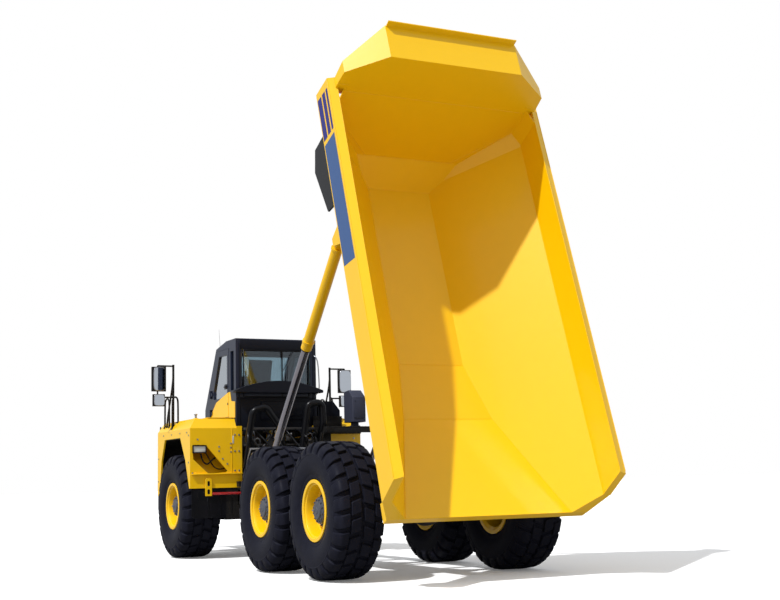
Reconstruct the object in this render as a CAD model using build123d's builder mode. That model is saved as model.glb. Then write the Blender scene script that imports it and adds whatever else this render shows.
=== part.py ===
"""Articulated dump truck with its body tipped: tractor, hitch, bogie, dump body and telescopic hoist.

Millimetres. +X points ahead, +Y to the driver's left, +Z up. The origin is on the ground under the middle
of the truck's overall length. Sizes along the truck are measured from the middle axle through ahead().
"""
import os
from math import atan2, cos, degrees, hypot, radians, sin, tan

from build123d import *

# ---------------------------------------------------------------- driving dimensions
# running gear
wheelbase = 4350            # front axle to middle axle
bogie_spacing = 1970        # middle axle to rear axle
track = 2600                # between the tyres' middles
tyre_radius = 875
tyre_width = 670
rim_flange_radius = 393
bead_seat_radius = 330
rim_width = 560
hub_radius = 212
front_overhang = 2760       # front axle to the bumper's face

# dump body
body_hinge_back = 2750      # hinge pin behind the middle axle
body_hinge_height = 1584
floor_height = 1459         # load floor over the ground, body down
bend_back = 1508            # where the floor turns up into the tail ramp, body down
tip_angle = 72.0            # the body stands tipped by this
body_half_width = 1450      # inside, at the fold of the side walls
floor_half_width = 475
floor_plate = 16
wall_plate = 12

# hoist
hoist_half_spacing = 855
hoist_foot = (2400, 600)    # ahead of the middle axle, height
hoist_head = (500, 1100)    # the same for the upper pin, body down
hoist_barrel_radius = 78
hoist_stage_radius = 61
hoist_rod_radius = 48

# hitch and steering
hitch_ahead = 2900
hitch_height = 985
steer_pin_radius = 60
steering_base = (950, 600)  # from the steering axis: ahead, out
steering_eye = (-200, 420)
steering_barrel_radius = 58
steering_rod_radius = 30

# frames
rail_top = 1385
rail_out = 450              # outside of the rear frame's rails from the middle
rail_width = 110
tractor_rail_in = 270
tractor_rail_width = 100

# cab
cab_rear = 3462
cab_half_width = 740
cab_floor = 2120
cab_roof = 3702
cab_wall = 60
door_gap = 6

# fenders
fender_rear = 3428
fender_front = 5390
fender_out = 1560
fender_top = 2330
fender_edge = 2165          # the platform's edge slopes down to this height
fender_shoulder = 120       # how far in from the outside the slope begins
fender_plate = 28
fender_bevel = 100          # how far ahead of the rear wall the platform begins to slope down to it

running_gap = 1.0           # around pins and shafts
seat_gap = 0.3              # between faces that seat on each other

# ---------------------------------------------------------------- places worked out from them
tip = radians(tip_angle)


def turned(x, z, angle):
    """Turn a side-view direction from ahead towards up by an angle in radians."""
    return x * cos(angle) - z * sin(angle), x * sin(angle) + z * cos(angle)


def tipped(x, z):
    """Return where a side-view place of the lowered body lies once the body is tipped."""
    dx, dz = turned(x + body_hinge_back, z - body_hinge_height, tip)
    return dx - body_hinge_back, dz + body_hinge_height


# the tail of the side rails, behind and above the bend of the floor, sets the truck's rear end
tail_rail = (-2010, 1485)
bend_x, bend_z = tipped(-bend_back, floor_height)
tail_x = bend_x + turned(*tail_rail, tip)[0]
middle_axle_x = -(wheelbase + front_overhang + tail_x) / 2


def ahead(distance):
    """Return the X of a place that far ahead of the middle axle."""
    return middle_axle_x + distance


def side_view(y):
    """Return the plane of an outline in X and Z, facing the truck's right, at that Y."""
    return Plane(origin=(0, y, 0), x_dir=(1, 0, 0), z_dir=(0, -1, 0))


def slab(points, y_low, y_high, mode=Mode.ADD):
    """Add or cut a plate: an outline of side-view places between two values of Y."""
    with BuildSketch(side_view(y_high)) as outline:
        with BuildLine():
            Polyline([(ahead(x), z) for x, z in points], close=True)
        make_face()
    extrude(outline.sketch, amount=y_high - y_low, mode=mode)


def block(x, y, z):
    """Add a box to the current part from its low and high X from the middle axle, Y and Z."""
    with Locations((ahead((x[0] + x[1]) / 2), (y[0] + y[1]) / 2, (z[0] + z[1]) / 2)):
        Box(x[1] - x[0], y[1] - y[0], z[1] - z[0])


def bar(start, end, radius, mode=Mode.ADD):
    """Add a round bar between two places given as X from the middle axle, Y and Z."""
    first = Vector(ahead(start[0]), start[1], start[2])
    last = Vector(ahead(end[0]), end[1], end[2])
    with BuildSketch(Plane(origin=first, z_dir=last - first)) as section:
        Circle(radius)
    extrude(section.sketch, amount=(last - first).length, mode=mode)


def finish(part, name):
    """Label a finished piece and write it."""
    part.label = name
    export_step(part, f"parts/{name}.step")


os.makedirs("parts", exist_ok=True)
sides = {"left": 1, "right": -1}

# ---------------------------------------------------------------- wheels
axles = {"front": wheelbase, "middle": 0, "rear": -bogie_spacing}
half_tyre = tyre_width / 2
half_rim = rim_width / 2
shoulder = 58               # the tread's edge is this far inside the tyre's widest place
tyre_bead_inset = 8

for axle, distance in axles.items():
    for side, sign in sides.items():
        wheel = Plane(origin=(ahead(distance), sign * track / 2, tyre_radius), x_dir=(1, 0, 0),
                      z_dir=(0, 0, 1))
        # profiles: local x is the radius, local y the distance out from the wheel's middle
        profile = Plane(origin=wheel.origin, x_dir=(1, 0, 0), z_dir=(0, 0, sign))
        axis = Axis(wheel.origin, (0, 1, 0))

        with BuildPart() as tyre:
            with BuildSketch(profile):
                with BuildLine():
                    bead = half_rim - tyre_bead_inset
                    Polyline((bead_seat_radius + seat_gap, -bead), (bead_seat_radius + seat_gap, bead),
                             (rim_flange_radius + 3, bead))
                    ThreePointArc((rim_flange_radius + 3, bead), (600, half_tyre), (790, half_tyre - 22))
                    ThreePointArc((790, half_tyre - 22), (845, half_tyre - 42),
                                  (tyre_radius - 6, half_tyre - shoulder - 30))
                    ThreePointArc((tyre_radius - 6, half_tyre - shoulder - 30), (tyre_radius, 0),
                                  (tyre_radius - 6, -half_tyre + shoulder + 30))
                    ThreePointArc((tyre_radius - 6, -half_tyre + shoulder + 30), (845, -half_tyre + 42),
                                  (790, -half_tyre + 22))
                    ThreePointArc((790, -half_tyre + 22), (600, -half_tyre), (rim_flange_radius + 3, -bead))
                    Line((rim_flange_radius + 3, -bead), (bead_seat_radius + seat_gap, -bead))
                make_face()
            revolve(axis=axis)
        finish(tyre.part, f"tyre_{axle}_{side}")

        with BuildPart() as rim:
            with BuildSketch(profile):
                with BuildLine():
                    Polyline(
                        (rim_flange_radius, half_rim + 14), (rim_flange_radius, half_rim - 7),
                        (bead_seat_radius, half_rim - 7), (bead_seat_radius, -half_rim + 7),
                        (rim_flange_radius, -half_rim + 7), (rim_flange_radius, -half_rim - 14),
                        (342, -half_rim - 14), (304, -half_rim + 20), (304, 96),
                        (hub_radius - 20, 96), (hub_radius - 20, 126), (304, 126), (304, half_rim - 20),
                        (342, half_rim + 14), close=True)
                make_face()
            revolve(axis=axis)
            # hub drive: drum behind the disc, planet housing and end cover in front of it
            with BuildSketch(profile):
                with BuildLine():
                    Polyline((0, -60), (hub_radius, -60), (hub_radius, 96), (hub_radius, 160),
                             (hub_radius - 12, 172), (168, 176), (160, 236), (120, 250), (112, 268),
                             (0, 268), close=True)
                make_face()
            revolve(axis=axis)
        finish(rim.part, f"rim_{axle}_{side}")

# ---------------------------------------------------------------- axles
axle_end = track / 2 - 60 - seat_gap
axle_tube_radius = 118
for axle, distance in axles.items():
    with BuildPart() as casing:
        bar((distance, -axle_end + 140, tyre_radius), (distance, axle_end - 140, tyre_radius),
            axle_tube_radius)
        for sign in sides.values():
            bar((distance, sign * (axle_end - 210), tyre_radius), (distance, sign * axle_end, tyre_radius), 205)
        # differential housing, with its round cover and the pinion's nose
        with Locations((ahead(distance), 0, tyre_radius)):
            Sphere(248)
        nose = -1 if axle == "front" else 1
        bar((distance, 0, tyre_radius + 20), (distance + nose * 400, 0, tyre_radius + 20), 118)
    finish(casing.part, f"{axle}_axle")

# ---------------------------------------------------------------- rear frame
rail_in = rail_out - rail_width
hitch_tube_radius = 235
hitch_shaft_radius = 150
tube_front = 2470
tube_back = 2040
hinge_boss = 85
hinge_pin_radius = 45

tow_pin_x = -2880
tow_pin_radius = 26

with BuildPart() as rear_frame:
    rail = [
        (-2840, rail_top - 300), (-2880, rail_top - 130), (-body_hinge_back - hinge_boss, body_hinge_height),
        (-body_hinge_back - 60, body_hinge_height + 60), (-body_hinge_back + 60, body_hinge_height + 60),
        (-body_hinge_back + 150, body_hinge_height - 20), (-2420, rail_top), (1450, rail_top),
        (2060, 1220), (tube_front, 1180), (tube_front, 500), (2250, 500), (1950, 720), (1350, rail_top - 300),
    ]
    for sign in sides.values():
        y = sorted((sign * rail_in, sign * rail_out))
        slab(rail, y[0], y[1])
    for x, z in ((-2700, 1180), (-1500, 1240), (-460, 1240), (650, 1240), (1500, 1200)):
        bar((x, -rail_in, z), (x, rail_in, z), 80)
    # hanger of the drive shaft's front end
    block((1460, 1540), (-95, 95), (hitch_height - 150, 1200))
    bar((1400, 0, hitch_height - 35), (1600, 0, hitch_height - 35), 75 + seat_gap, Mode.SUBTRACT)
    # front tube that the hitch rolls in, with its two plates
    bar((tube_back, 0, hitch_height), (tube_front, 0, hitch_height), hitch_tube_radius)
    for x in ((tube_back, tube_back + 40), (tube_front - 40, tube_front)):
        block(x, (-rail_in, rail_in), (hitch_height - 285, hitch_height + 200))
    bar((tube_back, 0, hitch_height), (tube_front, 0, hitch_height), hitch_shaft_radius + running_gap,
        Mode.SUBTRACT)
    # cross tube of the hoist feet, ending in round cheeks beside the rods' eyes
    foot_cheek = hoist_half_spacing - hoist_barrel_radius - 7
    bar((hoist_foot[0], -foot_cheek, hoist_foot[1]), (hoist_foot[0], foot_cheek, hoist_foot[1]), 70)
    for sign in sides.values():
        bar((hoist_foot[0], sign * (foot_cheek - 30), hoist_foot[1]),
            (hoist_foot[0], sign * foot_cheek, hoist_foot[1]), 105)
    # bores of the body's hinge
    bar((-body_hinge_back, -rail_out, body_hinge_height), (-body_hinge_back, rail_out, body_hinge_height),
        hinge_pin_radius + running_gap, Mode.SUBTRACT)
    # trunnions of the equaliser beams
    trunnion = -bogie_spacing / 2
    beam_in = 565
    for sign in sides.values():
        bar((trunnion, sign * rail_out, 1180), (trunnion, sign * (beam_in - seat_gap), 1180), 75)
        block((trunnion - 120, trunnion + 120), sorted((sign * rail_out, sign * 480)), (1090, rail_top - 15))
    # rear cross beam with the tow pin's jaw
    block((-2840, -2790), (-rail_in, rail_in), (rail_top - 300, rail_top - 60))
    for low in (1090, 1210):
        block((tow_pin_x - 50, -2790), (-60, 60), (low, low + 30))
    bar((tow_pin_x, 0, 1080), (tow_pin_x, 0, 1250), tow_pin_radius, Mode.SUBTRACT)
finish(rear_frame.part, "rear_frame")

with BuildPart() as beams:
    for sign in sides.values():
        y = sorted((sign * beam_in, sign * 700))
        with BuildSketch(side_view(y[1])):
            with BuildLine():
                Polyline([(ahead(x), z) for x, z in (
                    (-bogie_spacing - 190, 1135), (-bogie_spacing + 250, 1135), (trunnion - 160, 1040),
                    (trunnion + 160, 1040), (-250, 1135), (190, 1135), (190, 1230), (-200, 1250),
                    (trunnion + 150, 1330), (trunnion - 150, 1330), (-bogie_spacing + 200, 1250),
                    (-bogie_spacing - 190, 1230))], close=True)
            make_face()
        extrude(amount=y[1] - y[0])
        # rubber sandwich blocks down to the axles
        for x in (0, -bogie_spacing):
            block((x - 110, x + 110), (y[0] + 10, y[1] - 10), (tyre_radius + axle_tube_radius + seat_gap, 1135))
finish(beams.part, "equaliser_beams")

with BuildPart() as shafts:
    shaft_height = tyre_radius + 20
    nose_end = 400 + seat_gap
    bar((nose_end + 4, 0, shaft_height), (1470, 0, hitch_height - 35), 58)
    for x in (nose_end, -bogie_spacing + nose_end):
        bar((x, 0, shaft_height), (x + 60, 0, shaft_height), 88)
    bar((1450, 0, hitch_height - 35), (1560, 0, hitch_height - 35), 75)
    bar((1540, 0, hitch_height - 35), (1900, 0, hitch_height - 20), 62)
    bar((-bogie_spacing + nose_end + 40, 0, shaft_height), (-249, 0, tyre_radius), 55)
finish(shafts.part, "drive_shafts")

# ---------------------------------------------------------------- hitch yoke
pin_x = hitch_ahead
yoke_back = 2570
arm_low = hitch_height - 300
arm_high = hitch_height + 300
boss_radius = 118

with BuildPart() as yoke:
    bar((tube_back - 60, 0, hitch_height), (yoke_back, 0, hitch_height), hitch_shaft_radius)
    bar((tube_back - 60, 0, hitch_height), (tube_back - 6, 0, hitch_height), hitch_shaft_radius + 45)
    bar((tube_front + 6, 0, hitch_height), (yoke_back, 0, hitch_height), hitch_tube_radius)
    slab([(yoke_back, arm_low), (pin_x, arm_low), (pin_x, arm_low + 155), (yoke_back + 150, arm_low + 190),
          (yoke_back + 150, arm_high - 190), (pin_x, arm_high - 155), (pin_x, arm_high),
          (yoke_back, arm_high)], -boss_radius, boss_radius)
    for low in (arm_low, arm_high - 155):
        bar((pin_x, 0, low), (pin_x, 0, low + 155), boss_radius)
    bar((pin_x, 0, arm_low), (pin_x, 0, arm_high), steer_pin_radius + running_gap, Mode.SUBTRACT)
    # cheeks above and below the steering rods' eyes
    eye_x = pin_x + steering_eye[0]
    for low in (hitch_height - 62, hitch_height + 42):
        for sign in sides.values():
            y = sorted((sign * 60, sign * steering_eye[1]))
            block((eye_x - 62, eye_x + 62), y, (low, low + 20))
            bar((eye_x, sign * steering_eye[1], low), (eye_x, sign * steering_eye[1], low + 20), 62)
    block((yoke_back, yoke_back + 120), (-300, 300), (hitch_height - 62, hitch_height + 62))
finish(yoke.part, "hitch_yoke")

# ---------------------------------------------------------------- steering cylinders
steering_straight = hypot(steering_base[0] - steering_eye[0], steering_base[1] - steering_eye[1])
steering_barrel_length = 745
steering_rod_length = 764

for side, sign in sides.items():
    base = Vector(ahead(pin_x + steering_base[0]), sign * steering_base[1], hitch_height)
    eye = Vector(ahead(pin_x + steering_eye[0]), sign * steering_eye[1], hitch_height)
    along = (eye - base).normalized()
    with BuildPart() as steering_barrel:
        with BuildSketch(Plane(origin=base + along * 68, z_dir=along)):
            Circle(steering_barrel_radius)
        extrude(amount=steering_barrel_length - 68)
        with BuildSketch(Plane(origin=base, z_dir=along)):
            Rectangle(70, 70)
        extrude(amount=74)
        with Locations((base.X, base.Y, base.Z)):
            Cylinder(62, 76)
        with BuildSketch(Plane(origin=base + along * 76, z_dir=along)):
            Circle(steering_rod_radius + running_gap)
        extrude(amount=steering_barrel_length, mode=Mode.SUBTRACT)
        with Locations((base.X, base.Y, base.Z)):
            Cylinder(32 + running_gap, 100, mode=Mode.SUBTRACT)
    finish(steering_barrel.part, f"steering_barrel_{side}")

    with BuildPart() as steering_rod:
        with BuildSketch(Plane(origin=base + along * (steering_straight - steering_rod_length), z_dir=along)):
            Circle(steering_rod_radius)
        extrude(amount=steering_rod_length - 20)
        with Locations((eye.X, eye.Y, eye.Z)):
            Cylinder(52, 74)
    finish(steering_rod.part, f"steering_rod_{side}")

# ---------------------------------------------------------------- front frame
tractor_rail_out = tractor_rail_in + tractor_rail_width
bumper_back = wheelbase + front_overhang - 150
hood_rear = 5230
hood_front = wheelbase + front_overhang - 70
hood_base = 1420
hood_hinge = (hood_front - 135, 1395)
with BuildPart() as front_frame:
    # ears over and under the yoke, with the steering pins
    for low, high in ((arm_high + 6, arm_high + 66), (arm_low - 66, arm_low - 6)):
        bar((pin_x, 0, low), (pin_x, 0, high), 130)
        block((pin_x, pin_x + 300), (-130, 130), (low, high))
    block((pin_x + 250, pin_x + 400), (-285, 285), (arm_low - 66, arm_high + 66))
    for low, high in ((arm_low - 66, arm_low + 155), (arm_high - 155, arm_high + 66)):
        bar((pin_x, 0, low), (pin_x, 0, high), steer_pin_radius)
    rail = [(pin_x + 380, arm_low - 66), (pin_x + 900, 820), (pin_x + 1050, 1130), (wheelbase + 380, 1130),
            (wheelbase + 600, 900), (bumper_back - seat_gap, 900), (bumper_back - seat_gap, 1180),
            (wheelbase + 600, 1250), (pin_x + 380, arm_high + 66)]
    for sign in sides.values():
        y = sorted((sign * (tractor_rail_in - 20), sign * (tractor_rail_in - 20 + tractor_rail_width)))
        slab(rail, y[0], y[1])
        # cheeks of the steering cylinders' base pins, with the pins
        base_x = pin_x + steering_base[0]
        inner = tractor_rail_out - 30
        for low in (hitch_height - 62, hitch_height + 42):
            block((base_x - 46, base_x + 60), sorted((sign * inner, sign * steering_base[1])), (low, low + 20))
            bar((base_x, sign * steering_base[1], low), (base_x, sign * steering_base[1], low + 20), 60)
        bar((base_x, sign * steering_base[1], hitch_height - 60),
            (base_x, sign * steering_base[1], hitch_height + 60), 32)
        # posts of the cab, shelf of the deck's foot, outriggers of the fender
        rail_y = sorted((sign * (tractor_rail_in - 20), sign * (tractor_rail_out - 20)))
        for x in (3500, 4960):
            block((x, x + 110), rail_y, (1240, cab_floor - seat_gap))
        block((3220, 3340), sorted((sign * tractor_rail_in, sign * 640)), (arm_high - 40, arm_high + 20 - seat_gap))
        block((3330, fender_rear - seat_gap), sorted((sign * tractor_rail_in, sign * 750)), (1180, 1270))
        block((fender_front + seat_gap, fender_front + 60), sorted((sign * tractor_rail_in, sign * 1000)),
              (1090, 1170))
        # stop on the axle, engine mounts, rest and hinge of the hood
        block((wheelbase - 60, wheelbase + 60), rail_y, (tyre_radius + axle_tube_radius + seat_gap, 1140))
        for x in (5450, 6450):
            block((x, x + 120), rail_y, (1150, 1260 - seat_gap))
        block((5250, 5330), rail_y, (1200, hood_base - 60))
        block((hood_hinge[0] - 35, hood_hinge[0] + 35), sorted((sign * (tractor_rail_in - 20), sign * 300)),
              (1150, hood_hinge[1] + 35))
        bar((hood_hinge[0], sign * 290, hood_hinge[1]), (hood_hinge[0], sign * 345, hood_hinge[1]), 20)
    block((5250, 5330), (-640, 640), (hood_base - 75, hood_base - seat_gap))
    # brackets of the tank beside the left rail
    for x in (3460, 3700):
        block((x, x + 60), (tractor_rail_in, 420 - seat_gap), (815, 872))
    # valve block that the hoses rise from
    block((3180, 3440), (-500, 500), (1330, 1560 - seat_gap))
    for x in (wheelbase - 900, wheelbase + 700, bumper_back - 110):
        bar((x, -tractor_rail_in, 1150 if x < wheelbase else 1050),
            (x, tractor_rail_in, 1150 if x < wheelbase else 1050), 70)
finish(front_frame.part, "front_frame")

# ---------------------------------------------------------------- engine, hood, bumper
hood_half_rear = 640
hood_half_front = 560
hood_wall = 25
with BuildPart() as engine:
    block((wheelbase + 1000, wheelbase + 2300), (-400, 400), (1260, 2100))
finish(engine.part, "engine_block")


def hood_section(x, inset):
    """Return the plane across the truck at that distance ahead of the middle axle."""
    return Plane(origin=(ahead(x) + inset, 0, 0), x_dir=(0, 1, 0), z_dir=(1, 0, 0))


with BuildPart() as hood:
    for inset, mode in ((0, Mode.ADD), (hood_wall, Mode.SUBTRACT)):
        for x, half, top in ((hood_rear, hood_half_rear, 2560), (hood_front, hood_half_front, 2330)):
            with BuildSketch(hood_section(x, -inset if x == hood_front else -1 if inset else 0)):
                with BuildLine():
                    side = half - inset
                    height = top - inset
                    base = hood_base - (1 if inset else 0)
                    Polyline((-side, base), (-side, height - 260), (-side + 150, height - 60),
                             (-side + 330, height), (side - 330, height), (side - 150, height - 60),
                             (side, height - 260), (side, base), close=True)
                make_face()
        loft(ruled=True, mode=mode)
    # air intake of the grille
    block((hood_front - 60, hood_front + 10), (-430, 430), (1560, 2160))
    with Locations((ahead(hood_front), 0, 1860)):
        Box(200, 800, 540, mode=Mode.SUBTRACT)
    # lugs of the hinge
    for sign in sides.values():
        block((hood_hinge[0] - 35, hood_front - 5), sorted((sign * 306, sign * 334)),
              (hood_hinge[1] - 30, hood_hinge[1] + 90))
    bar((hood_hinge[0], -400, hood_hinge[1]), (hood_hinge[0], 400, hood_hinge[1]), 20 + running_gap, Mode.SUBTRACT)
finish(hood.part, "hood")

bumper_half = 1480
tow_eye_radius = 24
with BuildPart() as bumper:
    with BuildSketch(Plane.XY.offset(760)):
        with BuildLine():
            front = ahead(wheelbase + front_overhang)
            Polyline((front - 330, -bumper_half), (front - 120, -bumper_half), (front, -1050), (front, 1050),
                     (front - 120, bumper_half), (front - 330, bumper_half), (front - 150, 1000),
                     (front - 150, -1000), close=True)
        make_face()
    extrude(amount=420)
    # towing eyes under the bumper
    for sign in sides.values():
        y = sorted((sign * 520, sign * 560))
        slab([(6990, 780), (7090, 780), (7090, 715), (7060, 680), (7020, 680), (6990, 715)], y[0], y[1])
        bar((7040, sign * 510, 725), (7040, sign * 570, 725), tow_eye_radius, Mode.SUBTRACT)
finish(bumper.part, "front_bumper")

# ---------------------------------------------------------------- cab
screen_top = 4520           # windscreen's upper edge, ahead of the middle axle
screen_foot = 5170
screen_foot_height = 2560
pillar = 75
door_hinge_x = 4790
door_rear = 3830
door_sill = 2370
door_head = 3560


def cab_outline(inset):
    """Return the cab's side-view outline drawn in by that much."""
    return [(cab_rear + inset, cab_floor + inset), (cab_rear + inset, cab_roof - inset),
            (cab_rear + 500, cab_roof - inset), (screen_top - inset, cab_roof - 92 - inset),
            (screen_foot - inset, screen_foot_height), (screen_foot - inset, cab_floor + inset)]


def screen_x(z):
    """Return where the windscreen's outer face stands at that height."""
    slope = (screen_foot - screen_top) / (cab_roof - 92 - screen_foot_height)
    return screen_top + (cab_roof - 92 - z) * slope


door_outline = [(door_rear, door_sill), (door_rear, door_head), (screen_x(door_head) - 95, door_head),
                (door_hinge_x - 30, 2900), (door_hinge_x - 30, door_sill)]
door_window = [(door_rear + 90, 2720), (door_rear + 90, door_head - 100),
               (screen_x(door_head) - 95 - 110, door_head - 100), (door_hinge_x - 130, 2860),
               (door_hinge_x - 130, 2720)]
side_window = [(cab_rear + 110, 2820), (cab_rear + 110, door_head - 60), (door_rear - 90, door_head - 60),
               (door_rear - 90, 2820)]
right_window = [(door_rear - 20, 2700), (door_rear - 20, door_head - 60),
                (screen_x(door_head) - 190, door_head - 60), (4820, 2700)]


hinge_out = cab_half_width + 24
door_hinges = (2480, 2820)


def hinge_knuckle(low, high, leaf_end):
    """Add a hinge knuckle to the current part, with its leaf running to that distance along the cab."""
    bar((door_hinge_x, hinge_out, low), (door_hinge_x, hinge_out, high), 16)
    block(sorted((door_hinge_x, leaf_end)), (cab_half_width - 2, hinge_out), (low, high))


cut = Mode.SUBTRACT
left_wall = (cab_half_width - cab_wall - 5, cab_half_width + 5)
right_wall = (-left_wall[1], -left_wall[0])
door_opening = [(door_rear - door_gap, door_sill - door_gap), (door_rear - door_gap, door_head + door_gap),
                (screen_x(door_head) - 95 + door_gap, door_head + door_gap),
                (door_hinge_x - 30 + door_gap, 2900), (door_hinge_x - 30 + door_gap, door_sill - door_gap)]
with BuildPart() as cab_shell:
    slab(cab_outline(0), -cab_half_width, cab_half_width)
    slab(cab_outline(cab_wall), -cab_half_width + cab_wall, cab_half_width - cab_wall, cut)
    slab(door_opening, *left_wall, cut)
    slab(side_window, *left_wall, cut)
    slab(side_window, *right_wall, cut)
    slab(right_window, *right_wall, cut)
    # rear window and windscreen
    slab([(cab_rear - 5, 2800), (cab_rear + cab_wall + 5, 2800), (cab_rear + cab_wall + 5, 3560),
          (cab_rear - 5, 3560)], -cab_half_width + 110, cab_half_width - 110, cut)
    slab([(screen_x(3500) - 150, 3500), (screen_x(3500) + 120, 3500), (screen_x(2640) + 120, 2640),
          (screen_x(2640) - 150, 2640)], -cab_half_width + 90, cab_half_width - 90, cut)
    # knuckles of the door's hinges over and under the door's own, with the pins
    for z in door_hinges:
        for low, high in ((z - 70, z - 30 - seat_gap), (z + 30 + seat_gap, z + 70)):
            hinge_knuckle(low, high, door_hinge_x + 45)
        bar((door_hinge_x, hinge_out, z - 60), (door_hinge_x, hinge_out, z + 60), 7)
finish(cab_shell.part, "cab_shell")

with BuildPart() as cab_door:
    slab(door_outline, cab_half_width - 55, cab_half_width + 5)
    slab(door_window, cab_half_width - 60, cab_half_width + 10, cut)
    for z in door_hinges:
        bar((door_hinge_x, hinge_out, z - 30), (door_hinge_x, hinge_out, z + 30), 16)
        block((door_hinge_x - 80, door_hinge_x), (cab_half_width + 1, hinge_out), (z - 30, z + 30))
        bar((door_hinge_x, hinge_out, z - 40), (door_hinge_x, hinge_out, z + 40), 7 + seat_gap, cut)
finish(cab_door.part, "cab_door")

# ---------------------------------------------------------------- fenders
fender_in = cab_half_width + 8
fender_rear_in = 650        # the rear wall reaches in behind the cab's corner
rear_opening = [(1518, 1890), (1290, 1885), (890, 1432), (1240, 1405), (1505, 1650)]
for side, sign in sides.items():
    with BuildPart() as fender:
        y_out = sorted((sign * (fender_out - fender_plate), sign * fender_out))
        y_all = sorted((sign * fender_in, sign * fender_out))
        # outer skirt with its legs behind and ahead of the tyre
        slab([(fender_rear, 1170), (fender_rear + 52, 1170), (3700, 1640), (4010, 2045), (4930, 2045),
              (5150, 1640), (5262, 1045), (fender_front, 1045), (fender_front, fender_edge),
              (fender_rear, fender_edge)], y_out[0], y_out[1])
        # platform with its sloping edge, and the walls behind and ahead of the tyre
        with BuildSketch(Plane(origin=(ahead(fender_rear), 0, 0), x_dir=(0, 1, 0), z_dir=(1, 0, 0))):
            with BuildLine():
                Polyline([(sign * y, z) for y, z in (
                    (fender_in, fender_top), (fender_out - fender_shoulder, fender_top), (fender_out, fender_edge),
                    (fender_out - fender_plate, fender_edge), (fender_out - 132, fender_top - fender_plate),
                    (fender_in, fender_top - fender_plate))], close=True)
            make_face()
        extrude(amount=fender_front - fender_rear)
        top_corners = ((fender_in, fender_top), (fender_out - fender_shoulder, fender_top), (fender_out, fender_edge))
        for x, low, inner in ((fender_rear, 1170, ((fender_rear_in, 1170), (fender_rear_in, 2200), (fender_in, 2200))),
                              (fender_front - fender_plate, 1045, ((fender_in, 1045),))):
            with BuildSketch(Plane(origin=(ahead(x), 0, 0), x_dir=(0, 1, 0), z_dir=(1, 0, 0))):
                with BuildLine():
                    Polyline([(sign * y, z) for y, z in (*inner, *top_corners, (fender_out, low))], close=True)
                make_face()
            extrude(amount=fender_plate)
        # arch sheet between the walls, over the tyre
        slab([(fender_rear, 1930), (4010, 2045), (4930, 2045), (fender_front, 1900), (fender_front, 1880),
              (4930, 2025), (4010, 2025), (fender_rear, 1910)], y_all[0], y_all[1])
        # liner behind the tyre, which makes a box of the fender's rear
        slab([(3440, 1170), (3480, 1170), (3700, 1640), (4005, 2038), (3996, 2046), (3690, 1646), (3474, 1182),
              (3440, 1182)], *sorted((sign * fender_in, sign * (fender_out - fender_plate / 2))))
        # bevel where the platform meets the rear wall
        bevel = [(fender_rear, fender_edge), (fender_rear + fender_bevel, fender_top)]
        slab([(fender_rear - 5, fender_edge), *bevel, (fender_rear + fender_bevel, fender_top + 5),
              (fender_rear - 5, fender_top + 5)], *y_all, Mode.SUBTRACT)
        slab([*bevel, (fender_rear + fender_bevel + 24, fender_top - 15), (fender_rear + 24, fender_edge - 15)],
             *y_all)
        with BuildSketch(Plane(origin=(ahead(fender_rear - 1), 0, 0), x_dir=(0, 1, 0), z_dir=(1, 0, 0))) as outside:
            with BuildLine():
                Polyline([(sign * y, z) for y, z in (
                    (fender_out - fender_shoulder, fender_top), (fender_out, fender_edge),
                    (fender_out + 5, fender_edge), (fender_out + 5, fender_top + 5),
                    (fender_out - fender_shoulder, fender_top + 5))], close=True)
            make_face()
        extrude(outside.sketch, amount=fender_front - fender_rear + 2, mode=Mode.SUBTRACT)
        # opening of the box, with the work lamp in its upper corner
        with BuildSketch(Plane(origin=(ahead(fender_rear - 1), 0, 0), x_dir=(0, 1, 0), z_dir=(1, 0, 0))) as opening:
            with BuildLine():
                Polyline([(sign * y, z) for y, z in rear_opening], close=True)
            make_face()
            fillet(opening.vertices(), radius=22)
        extrude(opening.sketch, amount=fender_plate + 2, mode=Mode.SUBTRACT)
    finish(fender.part, f"fender_{side}")

with BuildPart() as steps:
    for sign in sides.values():
        y = sorted((sign * 1060, sign * 1540))
        for x in (fender_front + seat_gap, fender_front + 330):
            block((x, x + 25), (y[0], y[0] + 25), (620, 2300))
            block((x, x + 25), (y[1] - 25, y[1]), (620, 2300))
        for z in (620, 1010, 1400, 1790, 2180):
            block((fender_front + seat_gap, fender_front + 355), y, (z, z + 30))
finish(steps.part, "steps")

# ---------------------------------------------------------------- mirrors and handrails
mast_out = 1500


def trim_to_platform(sign):
    """Cut the current part's posts off along the sloping edge of the fender's platform on that side."""
    with BuildSketch(Plane(origin=(ahead(fender_rear), 0, 0), x_dir=(0, 1, 0), z_dir=(1, 0, 0))) as under:
        with BuildLine():
            Polyline([(sign * y, z + seat_gap) for y, z in (
                (fender_out - fender_shoulder, fender_top), (fender_out, fender_edge), (fender_out, 1900),
                (fender_out - fender_shoulder, 1900))], close=True)
        make_face()
    extrude(under.sketch, amount=fender_front - fender_rear, mode=Mode.SUBTRACT)


with BuildPart() as mirrors:
    for sign in sides.values():
        bar((4616, sign * mast_out, fender_edge), (4616, sign * mast_out, 3336), 20)
        for z in (3310, 2760):
            bar((4616, sign * mast_out, z), (4590, sign * 1790, z), 14)
        block((4545, 4600), sorted((sign * 1650, sign * 1900)), (2860, 3290))
        block((4545, 4600), sorted((sign * 1670, sign * 1880)), (2600, 2810))
        bar((4590, sign * 1790, 2620), (4590, sign * 1790, 3310), 14)
        trim_to_platform(sign)
finish(mirrors.part, "mirrors")

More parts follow.
